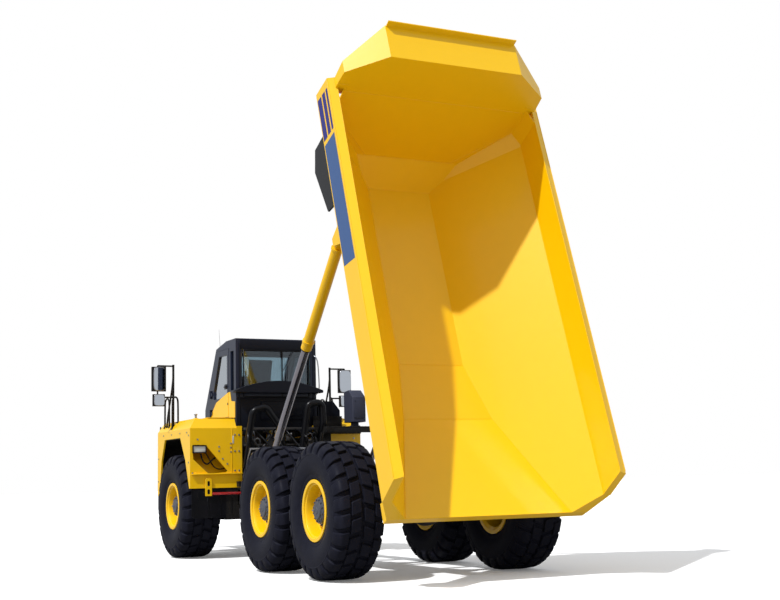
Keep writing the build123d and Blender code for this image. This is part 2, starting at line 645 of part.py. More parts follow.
with BuildPart() as handrails:
    for sign in sides.values():
        for start, end in ((4690, 5150),):
            for x in (start, end):
                bar((x, sign * mast_out, fender_edge), (x, sign * mast_out, 3050), 19)
            bar((start - 19, sign * mast_out, 3050), (end + 19, sign * mast_out, 3050), 19)
            bar((start, sign * mast_out, 2700), (end, sign * mast_out, 2700), 19)
        trim_to_platform(sign)
finish(handrails.part, "handrails")

# ---------------------------------------------------------------- behind the cab
deck_height = 2165
with BuildPart() as deck:
    block((2840, 2960), (-1560, 640), (deck_height - 115, deck_height))
    block((2960, fender_rear - seat_gap), (-1560, -800), (deck_height - 115, deck_height))
    for low, high in ((-640, -520), (520, 640)):
        slab([(2840, deck_height - 115), (2960, deck_height - 115), (3340, arm_high + 66), (3220, arm_high + 66)],
             low, high)
    for sign in sides.values():
        block((3220, 3340), sorted((sign * 510, sign * 640)), (arm_high + 20, arm_high + 66))
finish(deck.part, "rear_deck")

with BuildPart() as exhaust_box:
    slab([(2850, deck_height + seat_gap), (2850, 2700), (3010, 2810), (3250, 2810), (3250, deck_height + seat_gap)],
         -1420, -1130)
finish(exhaust_box.part, "exhaust_box")

with BuildPart() as air_cleaner:
    with BuildSketch(Plane(origin=(ahead(3470), 0, 0), x_dir=(0, 1, 0), z_dir=(1, 0, 0))):
        with BuildLine():
            Polyline([(-1190, fender_top + seat_gap), (-1190, 2470), (-1060, 2630), (-860, 2630), (-770, 2540),
                      (-770, fender_top + seat_gap)], close=True)
        make_face()
    extrude(amount=520)
finish(air_cleaner.part, "air_cleaner")

with BuildPart() as belly_tank:
    block((3440, 4060), (420, 930), (640, 880))
    block((3440, 3560), (720, 930), (880, 1160))
finish(belly_tank.part, "belly_tank")

hose_radius = 58
with BuildPart() as hoses:
    for path in (
        [(3360, 430, 1560), (3360, 430, 1690), (3250, 600, 1960), (3120, 560, 2440), (3110, 330, 2500),
         (3140, 60, 2150), (3270, -40, 1700), (3270, -40, 1560)],
        [(3240, -360, 1560), (3240, -360, 1700), (3090, -430, 2560), (3090, -690, 2590), (3120, -720, 2230),
         (3300, -700, 1920), (3380, -430, 1700), (3380, -430, 1560)],
    ):
        with BuildLine() as route:
            FilletPolyline([(ahead(x), y, z) for x, y, z in path], radius=100)
        with BuildSketch(Plane(origin=route.line @ 0, z_dir=route.line % 0)):
            Circle(hose_radius)
        sweep(path=route.line)
finish(hoses.part, "hoses")

# ---------------------------------------------------------------- cab inside
with BuildPart() as seat:
    block((3900, 4400), (-130, 430), (2430, 2760))
    slab([(3900, 2700), (3780, 3380), (3880, 3400), (4020, 2700)], -80, 380)
finish(seat.part, "driver_seat")

with BuildPart() as fittings:
    slab([(4700, cab_floor + cab_wall), (4760, 2900), (4960, 2740), (5060, 2560), (5060, cab_floor + cab_wall)],
         -560, 560)
    bar((4790, 150, 2840), (4640, 150, 2960), 28)
    bar((4650, 150, 2950), (4626, 150, 2969), 215)
    # seat pedestal
    block((3920, 4360), (-80, 380), (cab_floor + cab_wall, 2430 - seat_gap))
finish(fittings.part, "cab_fittings")

# ---------------------------------------------------------------- dump body
bed = Plane(origin=(ahead(bend_x), 0, bend_z), x_dir=(cos(tip), 0, sin(tip)), z_dir=(-sin(tip), 0, cos(tip)))

# places in the body's own directions: along the floor from its bend, out from the middle, up from the floor
ramp_bend = (-835, 189)     # where the tail ramp turns up again
tail_floor = (-2274, 1156, 745)
side_skin = (1568, 1048)    # lower outside corner of the side walls
rail_inner = (1464, 1485)
rail_outer = (1574, 1438)
headboard_low = (2935, 655, 407)
headboard_high = (3179, 1351, 1447)


def bed_place(u, y, w):
    """Return the truck's place of one given in the body's own directions."""
    return bed.from_local_coords(Vector(u, y, w))


def bed_wall(first, second, third):
    """Return the plane through three of the body's places, facing out of the load space."""
    a, b, c = (bed_place(*place) for place in (first, second, third))
    normal = (b - a).cross(c - a).normalized()
    middle = bed_place(400, 0, 700)
    if (middle - a).dot(normal) > 0:
        normal = -normal
    return Plane(origin=a, z_dir=normal)


def mirrored(place):
    """Return the same place on the body's other side."""
    return place[0], -place[1], place[2]


fold = (0, body_half_width, 1066)
floor_edge = (0, floor_half_width, 0)
wall_front = 3350           # front end of the side walls
# spill guard over the headboard: half width and height of its corners, and how far ahead each reaches
guard_low = (1494, 1525)
guard_corner = (1474, 1752)
guard_top = (966, 2101)
guard_reach = (3328, 3407, 3786)
guard_foot = 1440           # half width where it stands on the headboard, between the side rails
wall_points = {
    "floor": ((0, 0, 0), (100, 0, 0), (0, 100, 0)),
    "ramp": ((0, 0, 0), (0, 100, 0), (ramp_bend[0], 0, ramp_bend[1])),
    "tail_ramp": ((ramp_bend[0], 0, ramp_bend[1]), (ramp_bend[0], 100, ramp_bend[1]),
                  (tail_floor[0], 0, tail_floor[2])),
    "lower_side": (floor_edge, (100, floor_half_width, 0), fold),
    "upper_side": (fold, (100, *fold[1:]), (0, *rail_inner)),
    "foot_chamfer": ((2660, 0, 0), (2660, 100, 0), (headboard_low[0], 0, headboard_low[2])),
    "headboard": ((headboard_low[0], 0, headboard_low[2]), (headboard_low[0], 100, headboard_low[2]),
                  (headboard_high[0], 0, headboard_high[2])),
    "lower_corner": ((3090, 1346, 1069), (2885, *fold[1:]), (2732, 606, 118)),
    "upper_corner": ((3175, 1361, 1430), (2992, 1462, 1431), (3090, 1346, 1069)),
}
walls = {}
for name, points in wall_points.items():
    walls[name] = bed_wall(*points)
    if "side" in name or "corner" in name:
        walls[name + "_right"] = bed_wall(*(mirrored(point) for point in points))


def load_space(outset, reach):
    """Return the load space grown outwards by that much, open above up to that height over the floor."""
    with BuildPart() as space:
        with BuildSketch(bed.offset(-400)):
            with Locations((400, 0)):
                Rectangle(7000, 4400)
        extrude(amount=400 + reach)
        for wall in walls.values():
            split(bisect_by=wall.offset(outset), keep=Keep.BOTTOM)
    return space.part


def across_bed(u):
    """Return the plane across the body at that distance along it."""
    return Plane(origin=bed_place(u, 0, 0), x_dir=(0, 1, 0), z_dir=bed.x_dir)


def bed_prism(points, y_low, y_high, mode=Mode.ADD):
    """Add a prism to the current part: an outline along and up the body, between two values of Y."""
    plane = Plane(origin=bed_place(0, y_high, 0), x_dir=bed.x_dir, z_dir=(0, -1, 0))
    with BuildSketch(plane) as outline:
        with BuildLine():
            Polyline(points, close=True)
        make_face()
    extrude(outline.sketch, amount=y_high - y_low, mode=mode)


# the tail's ends from the beam under the ramp up to the rails, and all that lies behind them
tail_edge = [(-2297, 628), (-2285, 741), (-2167, 1057), tail_rail]
tail_cut = [(-2297, 200), *tail_edge, (tail_rail[0], 3200), (-3600, 3200), (-3600, 200)]
inner_space = load_space(0, 1600)
outer_space = load_space(wall_plate, rail_inner[1])
with BuildPart() as tub:
    add(outer_space)
    add(inner_space, mode=Mode.SUBTRACT)
    bed_prism(tail_cut, -2300, 2300, Mode.SUBTRACT)


def panel(*names):
    """Return what of the tub lies outside those walls of its load space."""
    pieces = []
    for name in names:
        with BuildPart() as piece:
            add(tub.part)
            split(bisect_by=walls[name], keep=Keep.TOP)
        pieces.append(piece.part)
    return pieces


hinge_u = bend_back - body_hinge_back
hinge_w = body_hinge_height - floor_height
head_u = bend_back + hoist_head[0]
head_w = hoist_head[1] - floor_height
lower_side_slope = (fold[2] - floor_edge[2]) / (fold[1] - floor_edge[1])
rail_slope = (rail_inner[1] - rail_outer[1]) / (rail_outer[0] - rail_inner[0])
collar_in = tail_floor[1] + 4.5     # half width of the beam under the tail, between the collars
hoist_eye_half = 55
head_pin_radius = 45


def bed_pin(u, w, y_low, y_high, radius, mode=Mode.ADD):
    """Add a round bar across the body to the current part, at a place along and up the body."""
    with BuildSketch(Plane(origin=bed_place(u, y_low, w), z_dir=(0, 1, 0))) as section:
        Circle(radius)
    extrude(section.sketch, amount=y_high - y_low, mode=mode)


with BuildPart() as bed_floor:
    for piece in panel("floor", "ramp", "tail_ramp"):
        add(piece)
    # beam under the tail's lip, and ribs across the floor
    bed_prism([tail_edge[0], tail_edge[1], (-2060, 656), (-2060, 640)], -collar_in, collar_in)
    for u in (350, 950, 1550, 2150):
        bed_prism([(u - 35, -6), (u - 25, -56), (u + 25, -56), (u + 35, -6)], -rail_in - 20, rail_in + 20)
    for sign in sides.values():
        # runners that rest on the rear frame
        y = sorted((sign * rail_in, sign * rail_out))
        bed_prism([(-60, -6), (-60, -64), (2450, -64), (2600, -6)], y[0], y[1])
        # hinge plates under the ramp, with the pins that turn in the frame
        y = sorted((sign * (rail_out + 8), sign * (rail_out + 48)))
        bed_prism([(-600, 132), (hinge_u + 70, hinge_w - 65), (hinge_u - 40, hinge_w - 85),
                   (hinge_u - 95, hinge_w - 20), (-1750, 538), (ramp_bend[0], ramp_bend[1] - 4)], y[0], y[1])
        y = sorted((sign * (rail_in - 20), sign * (rail_out + 48)))
        bed_pin(hinge_u, hinge_w, y[0], y[1], hinge_pin_radius)
finish(bed_floor.part, "bed_floor")

# box collars that stiffen the tail ends of the side walls, from the tail's beam up to the side rails
skin_low = (side_skin[0] - 6, side_skin[1] + 6)
fold_mid = (fold[1] + 6, fold[2] - 2)
collars = {}
for side, sign in sides.items():
    with BuildPart() as collar:
        with BuildSketch(across_bed(tail_edge[0][0] - 100)):
            with BuildLine():
                Polyline([(sign * y, w) for y, w in (
                    (collar_in, tail_edge[0][1]), (1383, tail_edge[0][1]), (1390, 738), skin_low, fold_mid,
                    (collar_in, tail_floor[2] - 4))], close=True)
            make_face()
        extrude(amount=340)
        bed_prism([*tail_edge, (-2057, 1485), (-2057, 628)], -1600, 1600, Mode.INTERSECT)
        for piece in panel("tail_ramp"):
            add(piece, mode=Mode.SUBTRACT)
    collars[side] = collar.part

for side, sign in sides.items():
    suffix = "" if side == "left" else "_right"
    with BuildPart() as bed_side:
        for piece in panel("lower_side" + suffix, "upper_side" + suffix):
            add(piece)
        for name in ("floor", "ramp", "tail_ramp"):
            split(bisect_by=walls[name], keep=Keep.BOTTOM)
        for name in ("foot_chamfer", "headboard", "lower_corner" + suffix, "upper_corner" + suffix):
            split(bisect_by=walls[name], keep=Keep.BOTTOM)
        # box section of the upper wall, with drain slots below, and the rail on top of it
        for points, start, mode in (
                ((fold_mid, side_skin, rail_outer, (rail_inner[0] + 6, rail_inner[1] - 6 * rail_slope)),
                 tail_rail[0] - 400, Mode.ADD),
                (((fold[1] + 20, fold[2] + 8), (side_skin[0] - 9, side_skin[1] + 9), (rail_outer[0] - 9, 1429),
                  (rail_inner[0] + 20, 1465)), tail_rail[0] + 15, Mode.SUBTRACT)):
            with BuildSketch(across_bed(start)) as box_section:
                with BuildLine():
                    Polyline([(sign * y, w) for y, w in points], close=True)
                make_face()
            extrude(box_section.sketch, amount=wall_front - start - (15 if mode == Mode.SUBTRACT else 0), mode=mode)
        for u in (-1900, 400, 2600):
            bed_prism([(u, 1030), (u + 90, 1030), (u + 90, 1090), (u, 1090)],
                      *sorted((sign * 1500, sign * 1530)), Mode.SUBTRACT)
        bed_prism(tail_cut, -2300, 2300, Mode.SUBTRACT)
        add(collars[side])
        split(bisect_by=Plane(origin=bed_place(0, sign * rail_inner[0], rail_inner[1]),
                              z_dir=Vector(0, sign * rail_slope, 0) + bed.z_dir), keep=Keep.BOTTOM)
        # plates and pin of the hoist's upper eye
        for inner_face in (-hoist_eye_half - 25, hoist_eye_half + 5):
            low = hoist_half_spacing + inner_face
            y = sorted((sign * low, sign * (low + 20)))
            top = (low - floor_half_width) * lower_side_slope - 4
            bed_prism([(head_u - 360, top), (head_u - 95, head_w + 20), (head_u - 55, head_w - 80),
                       (head_u + 55, head_w - 80), (head_u + 95, head_w + 20), (head_u + 400, top)],
                      y[0], y[1])
        y = sorted((sign * (hoist_half_spacing - hoist_eye_half - 25),
                    sign * (hoist_half_spacing + hoist_eye_half + 25)))
        bed_pin(head_u, head_w, y[0], y[1], head_pin_radius)
    finish(bed_side.part, f"bed_side_{side}")



def guard_block(inset, low):
    """Return the spill guard's filled shape over the headboard, drawn in by that much, from that height."""
    half = [(guard_foot, low), (guard_foot, rail_inner[1] + 4), (guard_low[0] - inset, rail_inner[1] + 4),
            (guard_low[0] - inset, guard_low[1]),
            (guard_corner[0] - inset, guard_corner[1] - inset / 2), (guard_top[0] - inset / 2, guard_top[1] - inset)]
    with BuildPart() as filled:
        with BuildSketch(across_bed(3000)):
            with BuildLine():
                Polyline(half + [(-y, w) for y, w in reversed(half)], close=True)
            make_face()
        extrude(amount=900)
        bed_prism([(3176 + inset, 1430), (3179 + inset, 1447), (3299 + inset, 2101), (3304 + inset, 2130),
                   (3804, 2130), (guard_reach[2], guard_top[1]), (guard_reach[1], guard_corner[1]),
                   (guard_reach[0], guard_low[1]), (guard_reach[0] - 20, 1430)], -1600, 1600, Mode.INTERSECT)
    return filled.part


guard_outside = guard_block(0, 1430)
guard_inside = guard_block(wall_plate, 1300)

with BuildPart() as headboard:
    for piece in panel("foot_chamfer", "headboard", "lower_corner", "lower_corner_right", "upper_corner",
                       "upper_corner_right"):
        add(piece)
    for name in ("floor", "upper_side", "upper_side_right"):
        split(bisect_by=walls[name], keep=Keep.BOTTOM)
    add(guard_outside)
    add(guard_inside, mode=Mode.SUBTRACT)
    # lip along the guard's front edge
    bed_prism([(3772, guard_top[1] - wall_plate), (guard_reach[2], guard_top[1] - wall_plate), (3805, 2187),
               (3792, 2187)], -guard_top[0] + 14, guard_top[0] - 14)
finish(headboard.part, "headboard")

# ---------------------------------------------------------------- hoist
hoist_open_span = Vector(*[a - b for a, b in zip(hoist_foot, tipped(*hoist_head))], 0)
hoist_closed = hypot(hoist_foot[0] - hoist_head[0], hoist_foot[1] - hoist_head[1])
hoist_open = hoist_open_span.length
hoist_stroke = (hoist_open - hoist_closed) / 2
barrel_end = hoist_closed - 85
stage_end = hoist_closed - 80
head_x, head_z = tipped(*hoist_head)

for side, sign in sides.items():
    y = sign * hoist_half_spacing
    head = Vector(ahead(head_x), y, head_z)
    foot = Vector(ahead(hoist_foot[0]), y, hoist_foot[1])
    down = (foot - head).normalized()

    def along(distance):
        """Return the plane across the cylinder at that distance from its upper pin."""
        return Plane(origin=head + down * distance, z_dir=down)

    with BuildPart() as barrel:
        with BuildSketch(along(130)):
            Circle(hoist_barrel_radius)
        extrude(amount=barrel_end - 130)
        with BuildSketch(along(0)):
            Rectangle(2 * hoist_eye_half - 6, 2 * hoist_eye_half - 6)
        extrude(amount=140)
        with BuildSketch(along(barrel_end - 150)):
            Circle(hoist_barrel_radius + 4)
        extrude(amount=110)
        with BuildSketch(Plane(origin=(head.X, y - hoist_eye_half, head.Z), z_dir=(0, 1, 0))):
            Circle(92)
        extrude(amount=2 * hoist_eye_half)
        with BuildSketch(along(145)):
            Circle(hoist_stage_radius + running_gap)
        extrude(amount=hoist_open, mode=Mode.SUBTRACT)
        with BuildSketch(Plane(origin=(head.X, y - 100, head.Z), z_dir=(0, 1, 0))):
            Circle(head_pin_radius + running_gap)
        extrude(amount=200, mode=Mode.SUBTRACT)
    finish(barrel.part, f"hoist_barrel_{side}")

    with BuildPart() as stage:
        with BuildSketch(along(155 + hoist_stroke)):
            Circle(hoist_stage_radius)
            Circle(hoist_rod_radius + running_gap, mode=Mode.SUBTRACT)
        extrude(amount=stage_end - 155)
    finish(stage.part, f"hoist_stage_{side}")

    with BuildPart() as rod:
        with BuildSketch(along(165 + 2 * hoist_stroke)):
            Circle(hoist_rod_radius)
        extrude(amount=hoist_closed - 165 - 20)
        with BuildSketch(Plane(origin=(foot.X, y - 50, foot.Z), z_dir=(0, 1, 0))):
            Circle(62)
        extrude(amount=100)
        # pin that reaches to the cheek of the frame's cross tube
        with BuildSketch(Plane(origin=(foot.X, sign * (foot_cheek + seat_gap), foot.Z), z_dir=(0, sign, 0))):
            Circle(38)
        extrude(amount=hoist_half_spacing + 60 - foot_cheek - seat_gap)
    finish(rod.part, f"hoist_rod_{side}")

# ---------------------------------------------------------------- mudguards and glass
with BuildPart() as mudguards:
    for sign in sides.values():
        y = sorted((sign * 1540, sign * 1565))
        bed_prism([(1715, 850), (1698, 1048.2), (2722, 1048.2), (2688, 755), (2408, 650)], y[0], y[1])
finish(mudguards.part, "mudguards")

glass = 8


def pane(points, y_low, y_high):
    """Add a pane that fills an opening's side-view outline to within the seat gap."""
    with BuildSketch(side_view(y_high)) as outline:
        with BuildLine():
            Polyline([(ahead(x), z) for x, z in points], close=True)
        make_face()
        offset(amount=-seat_gap, kind=Kind.INTERSECTION)
    extrude(outline.sketch, amount=y_high - y_low)


with BuildPart() as cab_glass:
    pane(side_window, cab_half_width - 40, cab_half_width - 40 + glass)
    pane(side_window, -cab_half_width + 40 - glass, -cab_half_width + 40)
    pane(right_window, -cab_half_width + 40 - glass, -cab_half_width + 40)
    pane([(cab_rear + 20, 2800), (cab_rear + 20 + glass, 2800), (cab_rear + 20 + glass, 3560),
          (cab_rear + 20, 3560)], -cab_half_width + 110 + seat_gap, cab_half_width - 110 - seat_gap)
    pane([(screen_x(3500) - 40, 3500), (screen_x(3500) - 30, 3500), (screen_x(2640) - 30, 2640),
          (screen_x(2640) - 40, 2640)], -cab_half_width + 90 + seat_gap, cab_half_width - 90 - seat_gap)
finish(cab_glass.part, "cab_glass")

with BuildPart() as door_glass:
    pane(door_window, cab_half_width - 30, cab_half_width - 30 + glass)
finish(door_glass.part, "door_glass")
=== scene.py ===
"""Looks of an articulated dump truck that stands with its body tipped.

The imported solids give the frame, in metres: +X points ahead, +Y to the driver's left, +Z up. The classes below
dress those solids and add what they lack, such as tread, bolts, lamps, seals and stripes.
"""

import logging
import math
from dataclasses import dataclass
from enum import Enum
from typing import Callable, Iterable, Sequence

import bpy
from mathutils import Matrix, Vector


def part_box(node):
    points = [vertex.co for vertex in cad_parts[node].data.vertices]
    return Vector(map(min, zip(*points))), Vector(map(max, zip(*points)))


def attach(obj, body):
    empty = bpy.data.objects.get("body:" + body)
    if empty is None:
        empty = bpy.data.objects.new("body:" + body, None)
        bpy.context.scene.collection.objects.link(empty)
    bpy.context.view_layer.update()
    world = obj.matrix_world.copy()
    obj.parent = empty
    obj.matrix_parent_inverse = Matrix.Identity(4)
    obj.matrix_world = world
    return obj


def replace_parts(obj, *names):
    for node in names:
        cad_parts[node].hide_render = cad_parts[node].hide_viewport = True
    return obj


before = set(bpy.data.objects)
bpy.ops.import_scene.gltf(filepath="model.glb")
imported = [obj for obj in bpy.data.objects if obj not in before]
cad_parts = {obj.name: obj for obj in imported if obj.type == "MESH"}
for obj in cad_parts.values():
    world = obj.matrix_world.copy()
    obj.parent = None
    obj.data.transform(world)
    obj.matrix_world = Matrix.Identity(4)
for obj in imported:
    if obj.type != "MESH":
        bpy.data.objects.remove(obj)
log = logging.getLogger("dump_truck")
Item, Tree, Socket = bpy.types.Object, bpy.types.NodeTree, bpy.types.NodeSocket
Point = tuple[float, float, float]
Profile = Sequence[tuple[float, float]]

# what several classes share: lengths in metres where no unit is named, and angles in degrees
MM_PER_METRE = 1000.0
GLOSS_SWING = 0.15
DUST_GRAIN_MM = 90.0
DUST_EDGES = (0.35, 0.75)
SKY_TINT = (0.9, 0.95, 1.0, 1.0)
WHITE = (1.0, 1.0, 1.0, 1.0)
SHARP_EDGE = 35.0
SEAM_GAP = 0.00005
WASHER_SHARE = 1.35


# ------------------------------------------------------------------ colours and node trees
def linear(colour: str) -> tuple[float, float, float, float]:
    """Turn an sRGB hex colour into linear light.

    Args:
        colour: Six hex digits after a hash.

    Returns:
        Red, green, blue and an alpha of 1.
    """
    parts = [int(colour[i:i + 2], 16) / 255 for i in (1, 3, 5)]
    light = [c / 12.92 if c <= 0.04045 else ((c + 0.055) / 1.055) ** 2.4 for c in parts]
    return (*light, 1.0)


def add_node(tree: Tree, kind: str, links: dict | None = None, **settings: object) -> bpy.types.Node:
    """Add a node with its settings and the links into it.

    Args:
        tree: The material's node tree.
        kind: The node's type name without its "ShaderNode" start.
        links: Input name or number to the output socket that feeds it, or to a fixed value.
        settings: Attributes of the node.

    Returns:
        The node.
    """
    node = tree.nodes.new(f"ShaderNode{kind}")
    for name, value in settings.items():
        setattr(node, name, value)
    for socket, source in (links or {}).items():
        if isinstance(source, Socket):
            tree.links.new(source, node.inputs[socket])
        else:
            node.inputs[socket].default_value = source
    return node


@dataclass(frozen=True)
class Finish:
    """What the finishes share: a principled shader with a little dust, which on the tyres is partly a painted sheen,
    and an uneven gloss.

    A finish is built once and then reused, so that pieces of one finish share one material.
    """

    name: str = "finish"
    colour: str = "#808080"
    metallic: float = 0.0
    roughness: float = 0.5
    coat: float = 0.0
    coat_roughness: float = 0.12
    specular: float = 0.5
    tone_scale_mm: float = 400.0
    tone: float = 0.06
    bump_mm: float = 0.0
    bump_scale_mm: float = 5.0
    # dust colour and share; on the tyres the blue-grey dust stands partly for a painted sheen
    dust: float = 0.0
    dust_and_sheen_colour: str = "#8C8270"

    def material(self) -> bpy.types.Material:
        """Return the finish's material, making it the first time.

        Returns:
            The material, which all pieces of this finish share.
        """
        name = f"{self.name}_finish"
        made = bpy.data.materials.get(name)
        if made is None:
            made = bpy.data.materials.new(name)
            made.use_nodes = True
            made.node_tree.nodes.clear()
            self.wire(made.node_tree)
        return made

    def place(self, tree: Tree, scale_mm: float) -> Socket:
        """Scale the Object coordinates.

        Args:
            tree: The material's node tree.
            scale_mm: How many millimetres one unit is.

        Returns:
            The scaled coordinates.
        """
        spot = add_node(tree, "TexCoord")
        size = (MM_PER_METRE / scale_mm,) * 3
        return add_node(tree, "Mapping", {"Vector": spot.outputs["Object"], "Scale": size}).outputs[0]

    def base_colour(self, tree: Tree) -> Socket:
        """Mix the colour, with a slow change of tone and the dust that lies in it; on the tyres that dust is blue-grey
        and partly a painted sheen.

        Args:
            tree: The material's node tree.

        Returns:
            The mixed colour.
        """
        cloud = add_node(tree, "TexNoise", {"Vector": self.place(tree, self.tone_scale_mm), "Detail": 4.0,
                                            "Roughness": 0.6})
        light = add_node(tree, "MapRange", {"Value": cloud.outputs[0], "To Min": 1 - self.tone,
                                            "To Max": 1 + self.tone})
        toned = add_node(tree, "HueSaturation", {"Color": linear(self.colour), "Value": light.outputs[0]})
        if not self.dust:
            return toned.outputs[0]
        grain = add_node(tree, "TexNoise", {"Vector": self.place(tree, DUST_GRAIN_MM), "Detail": 8.0,
                                            "Roughness": 0.7})
        thin, thick = DUST_EDGES
        share = add_node(tree, "MapRange", {"Value": grain.outputs[0], "From Min": thin, "From Max": thick,
                                            "To Max": self.dust})
        mixed = add_node(tree, "Mix", {"Factor": share.outputs[0], 6: toned.outputs[0],
                                       7: linear(self.dust_and_sheen_colour)}, data_type="RGBA")
        return mixed.outputs[2]

    def relief(self, tree: Tree) -> Socket | None:
        """Work the fine texture of the surface.

        Args:
            tree: The material's node tree.

        Returns:
            The normal, or None where the surface is smooth.
        """
        if not self.bump_mm:
            return None
        grain = add_node(tree, "TexNoise", {"Vector": self.place(tree, self.bump_scale_mm), "Detail": 3.0})
        return add_node(tree, "Bump", {"Height": grain.outputs[0], "Strength": 1.0,
                                       "Distance": self.bump_mm / MM_PER_METRE}).outputs[0]

    def wire(self, tree: Tree) -> None:
        """Build the node tree.

        Args:
            tree: The material's empty node tree.
        """
        gloss = add_node(tree, "TexNoise", {"Vector": self.place(tree, self.tone_scale_mm / 3), "Detail": 5.0})
        rough = add_node(tree, "MapRange", {"Value": gloss.outputs[0], "To Min": self.roughness * (1 - GLOSS_SWING),
                                            "To Max": self.roughness * (1 + GLOSS_SWING)})
        inputs = {"Base Color": self.base_colour(tree), "Roughness": rough.outputs[0],
                  "Metallic": self.metallic, "Specular IOR Level": self.specular,
                  "Coat Weight": self.coat, "Coat Roughness": self.coat_roughness}
        normal = self.relief(tree)
        if normal is not None:
            inputs["Normal"] = normal
        shader = add_node(tree, "BsdfPrincipled", inputs)
        add_node(tree, "OutputMaterial", {"Surface": shader.outputs[0]})


@dataclass(frozen=True)
class Glazing(Finish):
    """Toughened glass: clear, slightly blue, with a clean mirror-like gloss."""

    sheen: float = 0.0
    index: float = 1.5

    def wire(self, tree: Tree) -> None:
        """Build the node tree: clear to light that falls square on it, glossy at a flat angle.

        Args:
            tree: The material's empty node tree.
        """
        haze = add_node(tree, "TexNoise", {"Vector": self.place(tree, 350), "Detail": 3.0})
        rough = add_node(tree, "MapRange", {"Value": haze.outputs[0], "To Min": 0.02, "To Max": 0.06})
        see_through = add_node(tree, "BsdfTransparent", {"Color": linear(self.colour)})
        gloss = add_node(tree, "BsdfGlossy", {"Color": SKY_TINT, "Roughness": rough.outputs[0]})
        edge = add_node(tree, "Fresnel", {"IOR": self.index})
        share = add_node(tree, "MapRange", {"Value": edge.outputs[0], "To Min": self.sheen})
        mixed = add_node(tree, "MixShader", {0: share.outputs[0], 1: see_through.outputs[0], 2: gloss.outputs[0]})
        add_node(tree, "OutputMaterial", {"Surface": mixed.outputs[0]})


@dataclass(frozen=True)
class Lens(Finish):
    """Moulded acrylic lamp glass over a bright reflector: pale or coloured, with fine prisms."""

    prism_mm: float = 12.0

    def wire(self, tree: Tree) -> None:
        """Build the node tree, with upright prisms as relief.

        Args:
            tree: The material's empty node tree.
        """
        prisms = add_node(tree, "TexWave", {"Vector": self.place(tree, self.prism_mm), "Scale": 1.0},
                          bands_direction="Y")
        bump = add_node(tree, "Bump", {"Height": prisms.outputs[1], "Distance": 0.002, "Strength": 0.6})
        shader = add_node(tree, "BsdfPrincipled", {
            "Base Color": self.base_colour(tree), "Roughness": 0.12, "Normal": bump.outputs[0],
            "Coat Weight": 1.0, "Coat Roughness": 0.03})
        add_node(tree, "OutputMaterial", {"Surface": shader.outputs[0]})


class Finishes(Enum):
    """The finishes of the truck."""

    # two-pack enamel sprayed on sheet steel: strong yellow under a clear gloss, faint orange peel
    YELLOW = Finish("yellow_enamel", "#F8C400", roughness=0.36, coat=0.2, specular=0.4, tone=0.03, bump_mm=0.05,
                    bump_scale_mm=9, tone_scale_mm=900)
    # the same enamel on the cab: a dark slate blue, nearly black in the shade
    SLATE = Finish("slate_enamel", "#1B2338", roughness=0.34, coat=0.12, specular=0.3, tone=0.08, bump_mm=0.05,
                   bump_scale_mm=9)
    # chassis black: semi-gloss enamel, dulled by road dust
    CHASSIS = Finish("chassis_enamel", "#0F1116", roughness=0.45, specular=0.12, tone=0.2, bump_mm=0.1,
                     bump_scale_mm=12, dust=0.1)
    # heat-proof coating on the exhaust: flat grey, slightly chalky
    HEAT_GREY = Finish("heat_proof_grey", "#353848", roughness=0.6, specular=0.2, tone=0.1, bump_mm=0.1,
                       bump_scale_mm=6)
    # hub castings: grey enamel over sand-cast iron, so a coarse skin shows through
    HUB_GREY = Finish("hub_enamel", "#3C4250", roughness=0.45, coat=0.05, tone=0.15, bump_mm=0.5,
                      bump_scale_mm=16, dust=0.12)
    # axle housings: rough cast iron under thin paint
    CASTING = Finish("cast_iron_painted", "#22242B", roughness=0.55, tone=0.25, bump_mm=0.8,
                     bump_scale_mm=18, dust=0.2)
    # tyre rubber: carbon-black compound with little gloss of its own; its base colour is lifted to blue-grey as a
    # painted sheen of the sky, and its faint blue-grey patches are part dust and part painted sheen
    TYRE = Finish("tyre_rubber", "#1D1E28", roughness=0.42, specular=0.025, tone=0.3, bump_mm=0.3, bump_scale_mm=8,
                  dust=0.02, dust_and_sheen_colour="#3C3F4C")
    # moulded rubber of flaps, hoses and seals: black with a soft sheen
    RUBBER = Finish("moulded_rubber", "#0D0E13", roughness=0.3, specular=0.22, tone=0.15, bump_mm=0.15, bump_scale_mm=5)
    # hard chrome on ground steel: a mirror drawn out along the grinding marks
    CHROME = Finish("hard_chrome", "#9E9CA8", metallic=1.0, roughness=0.2, tone=0.05)
    # zinc-plated bolts: dull pale metal
    ZINC = Finish("zinc_plate", "#A9ABB2", metallic=1.0, roughness=0.38, tone=0.15)
    # mirror glass: silvered at the back
    MIRROR = Finish("silvered_glass", "#D6DCE4", metallic=1.0, roughness=0.03, tone=0.02)
    # injection-moulded ABS of trim and housings: fine leathery grain
    ABS = Finish("black_abs", "#131620", roughness=0.42, specular=0.16, tone=0.1, bump_mm=0.12, bump_scale_mm=3)
    # woven seat cloth over foam: deep charcoal, rough
    CLOTH = Finish("seat_cloth", "#23242B", roughness=0.9, tone=0.25, bump_mm=0.6, bump_scale_mm=4)
    # self-adhesive vinyl of the stripes: dark and middle blue, smooth
    DARK_BLUE = Finish("dark_blue_vinyl", "#15187A", roughness=0.35, coat=0.05, specular=0.25, tone=0.04)
    MID_BLUE = Finish("mid_blue_vinyl", "#34578C", roughness=0.35, coat=0.05, specular=0.25, tone=0.05)
    # reflectors and lamps
    CLEAR_LENS = Lens("clear_lens", "#DDE0DC")
    RED_LENS = Lens("red_lens", "#B3121A")
    AMBER_LENS = Lens("amber_lens", "#E07A10")
    GLASS = Glazing("cab_glazing", "#CFDBE0", sheen=0.04)
    # the door's pane: the same glass with a sun-shield film, so that it mirrors the sky
    FILM_GLASS = Glazing("film_glazing", "#B4C6D2", sheen=0.65)

    @property
    def material(self) -> bpy.types.Material:
        """The finish's material."""
        return self.value.material()


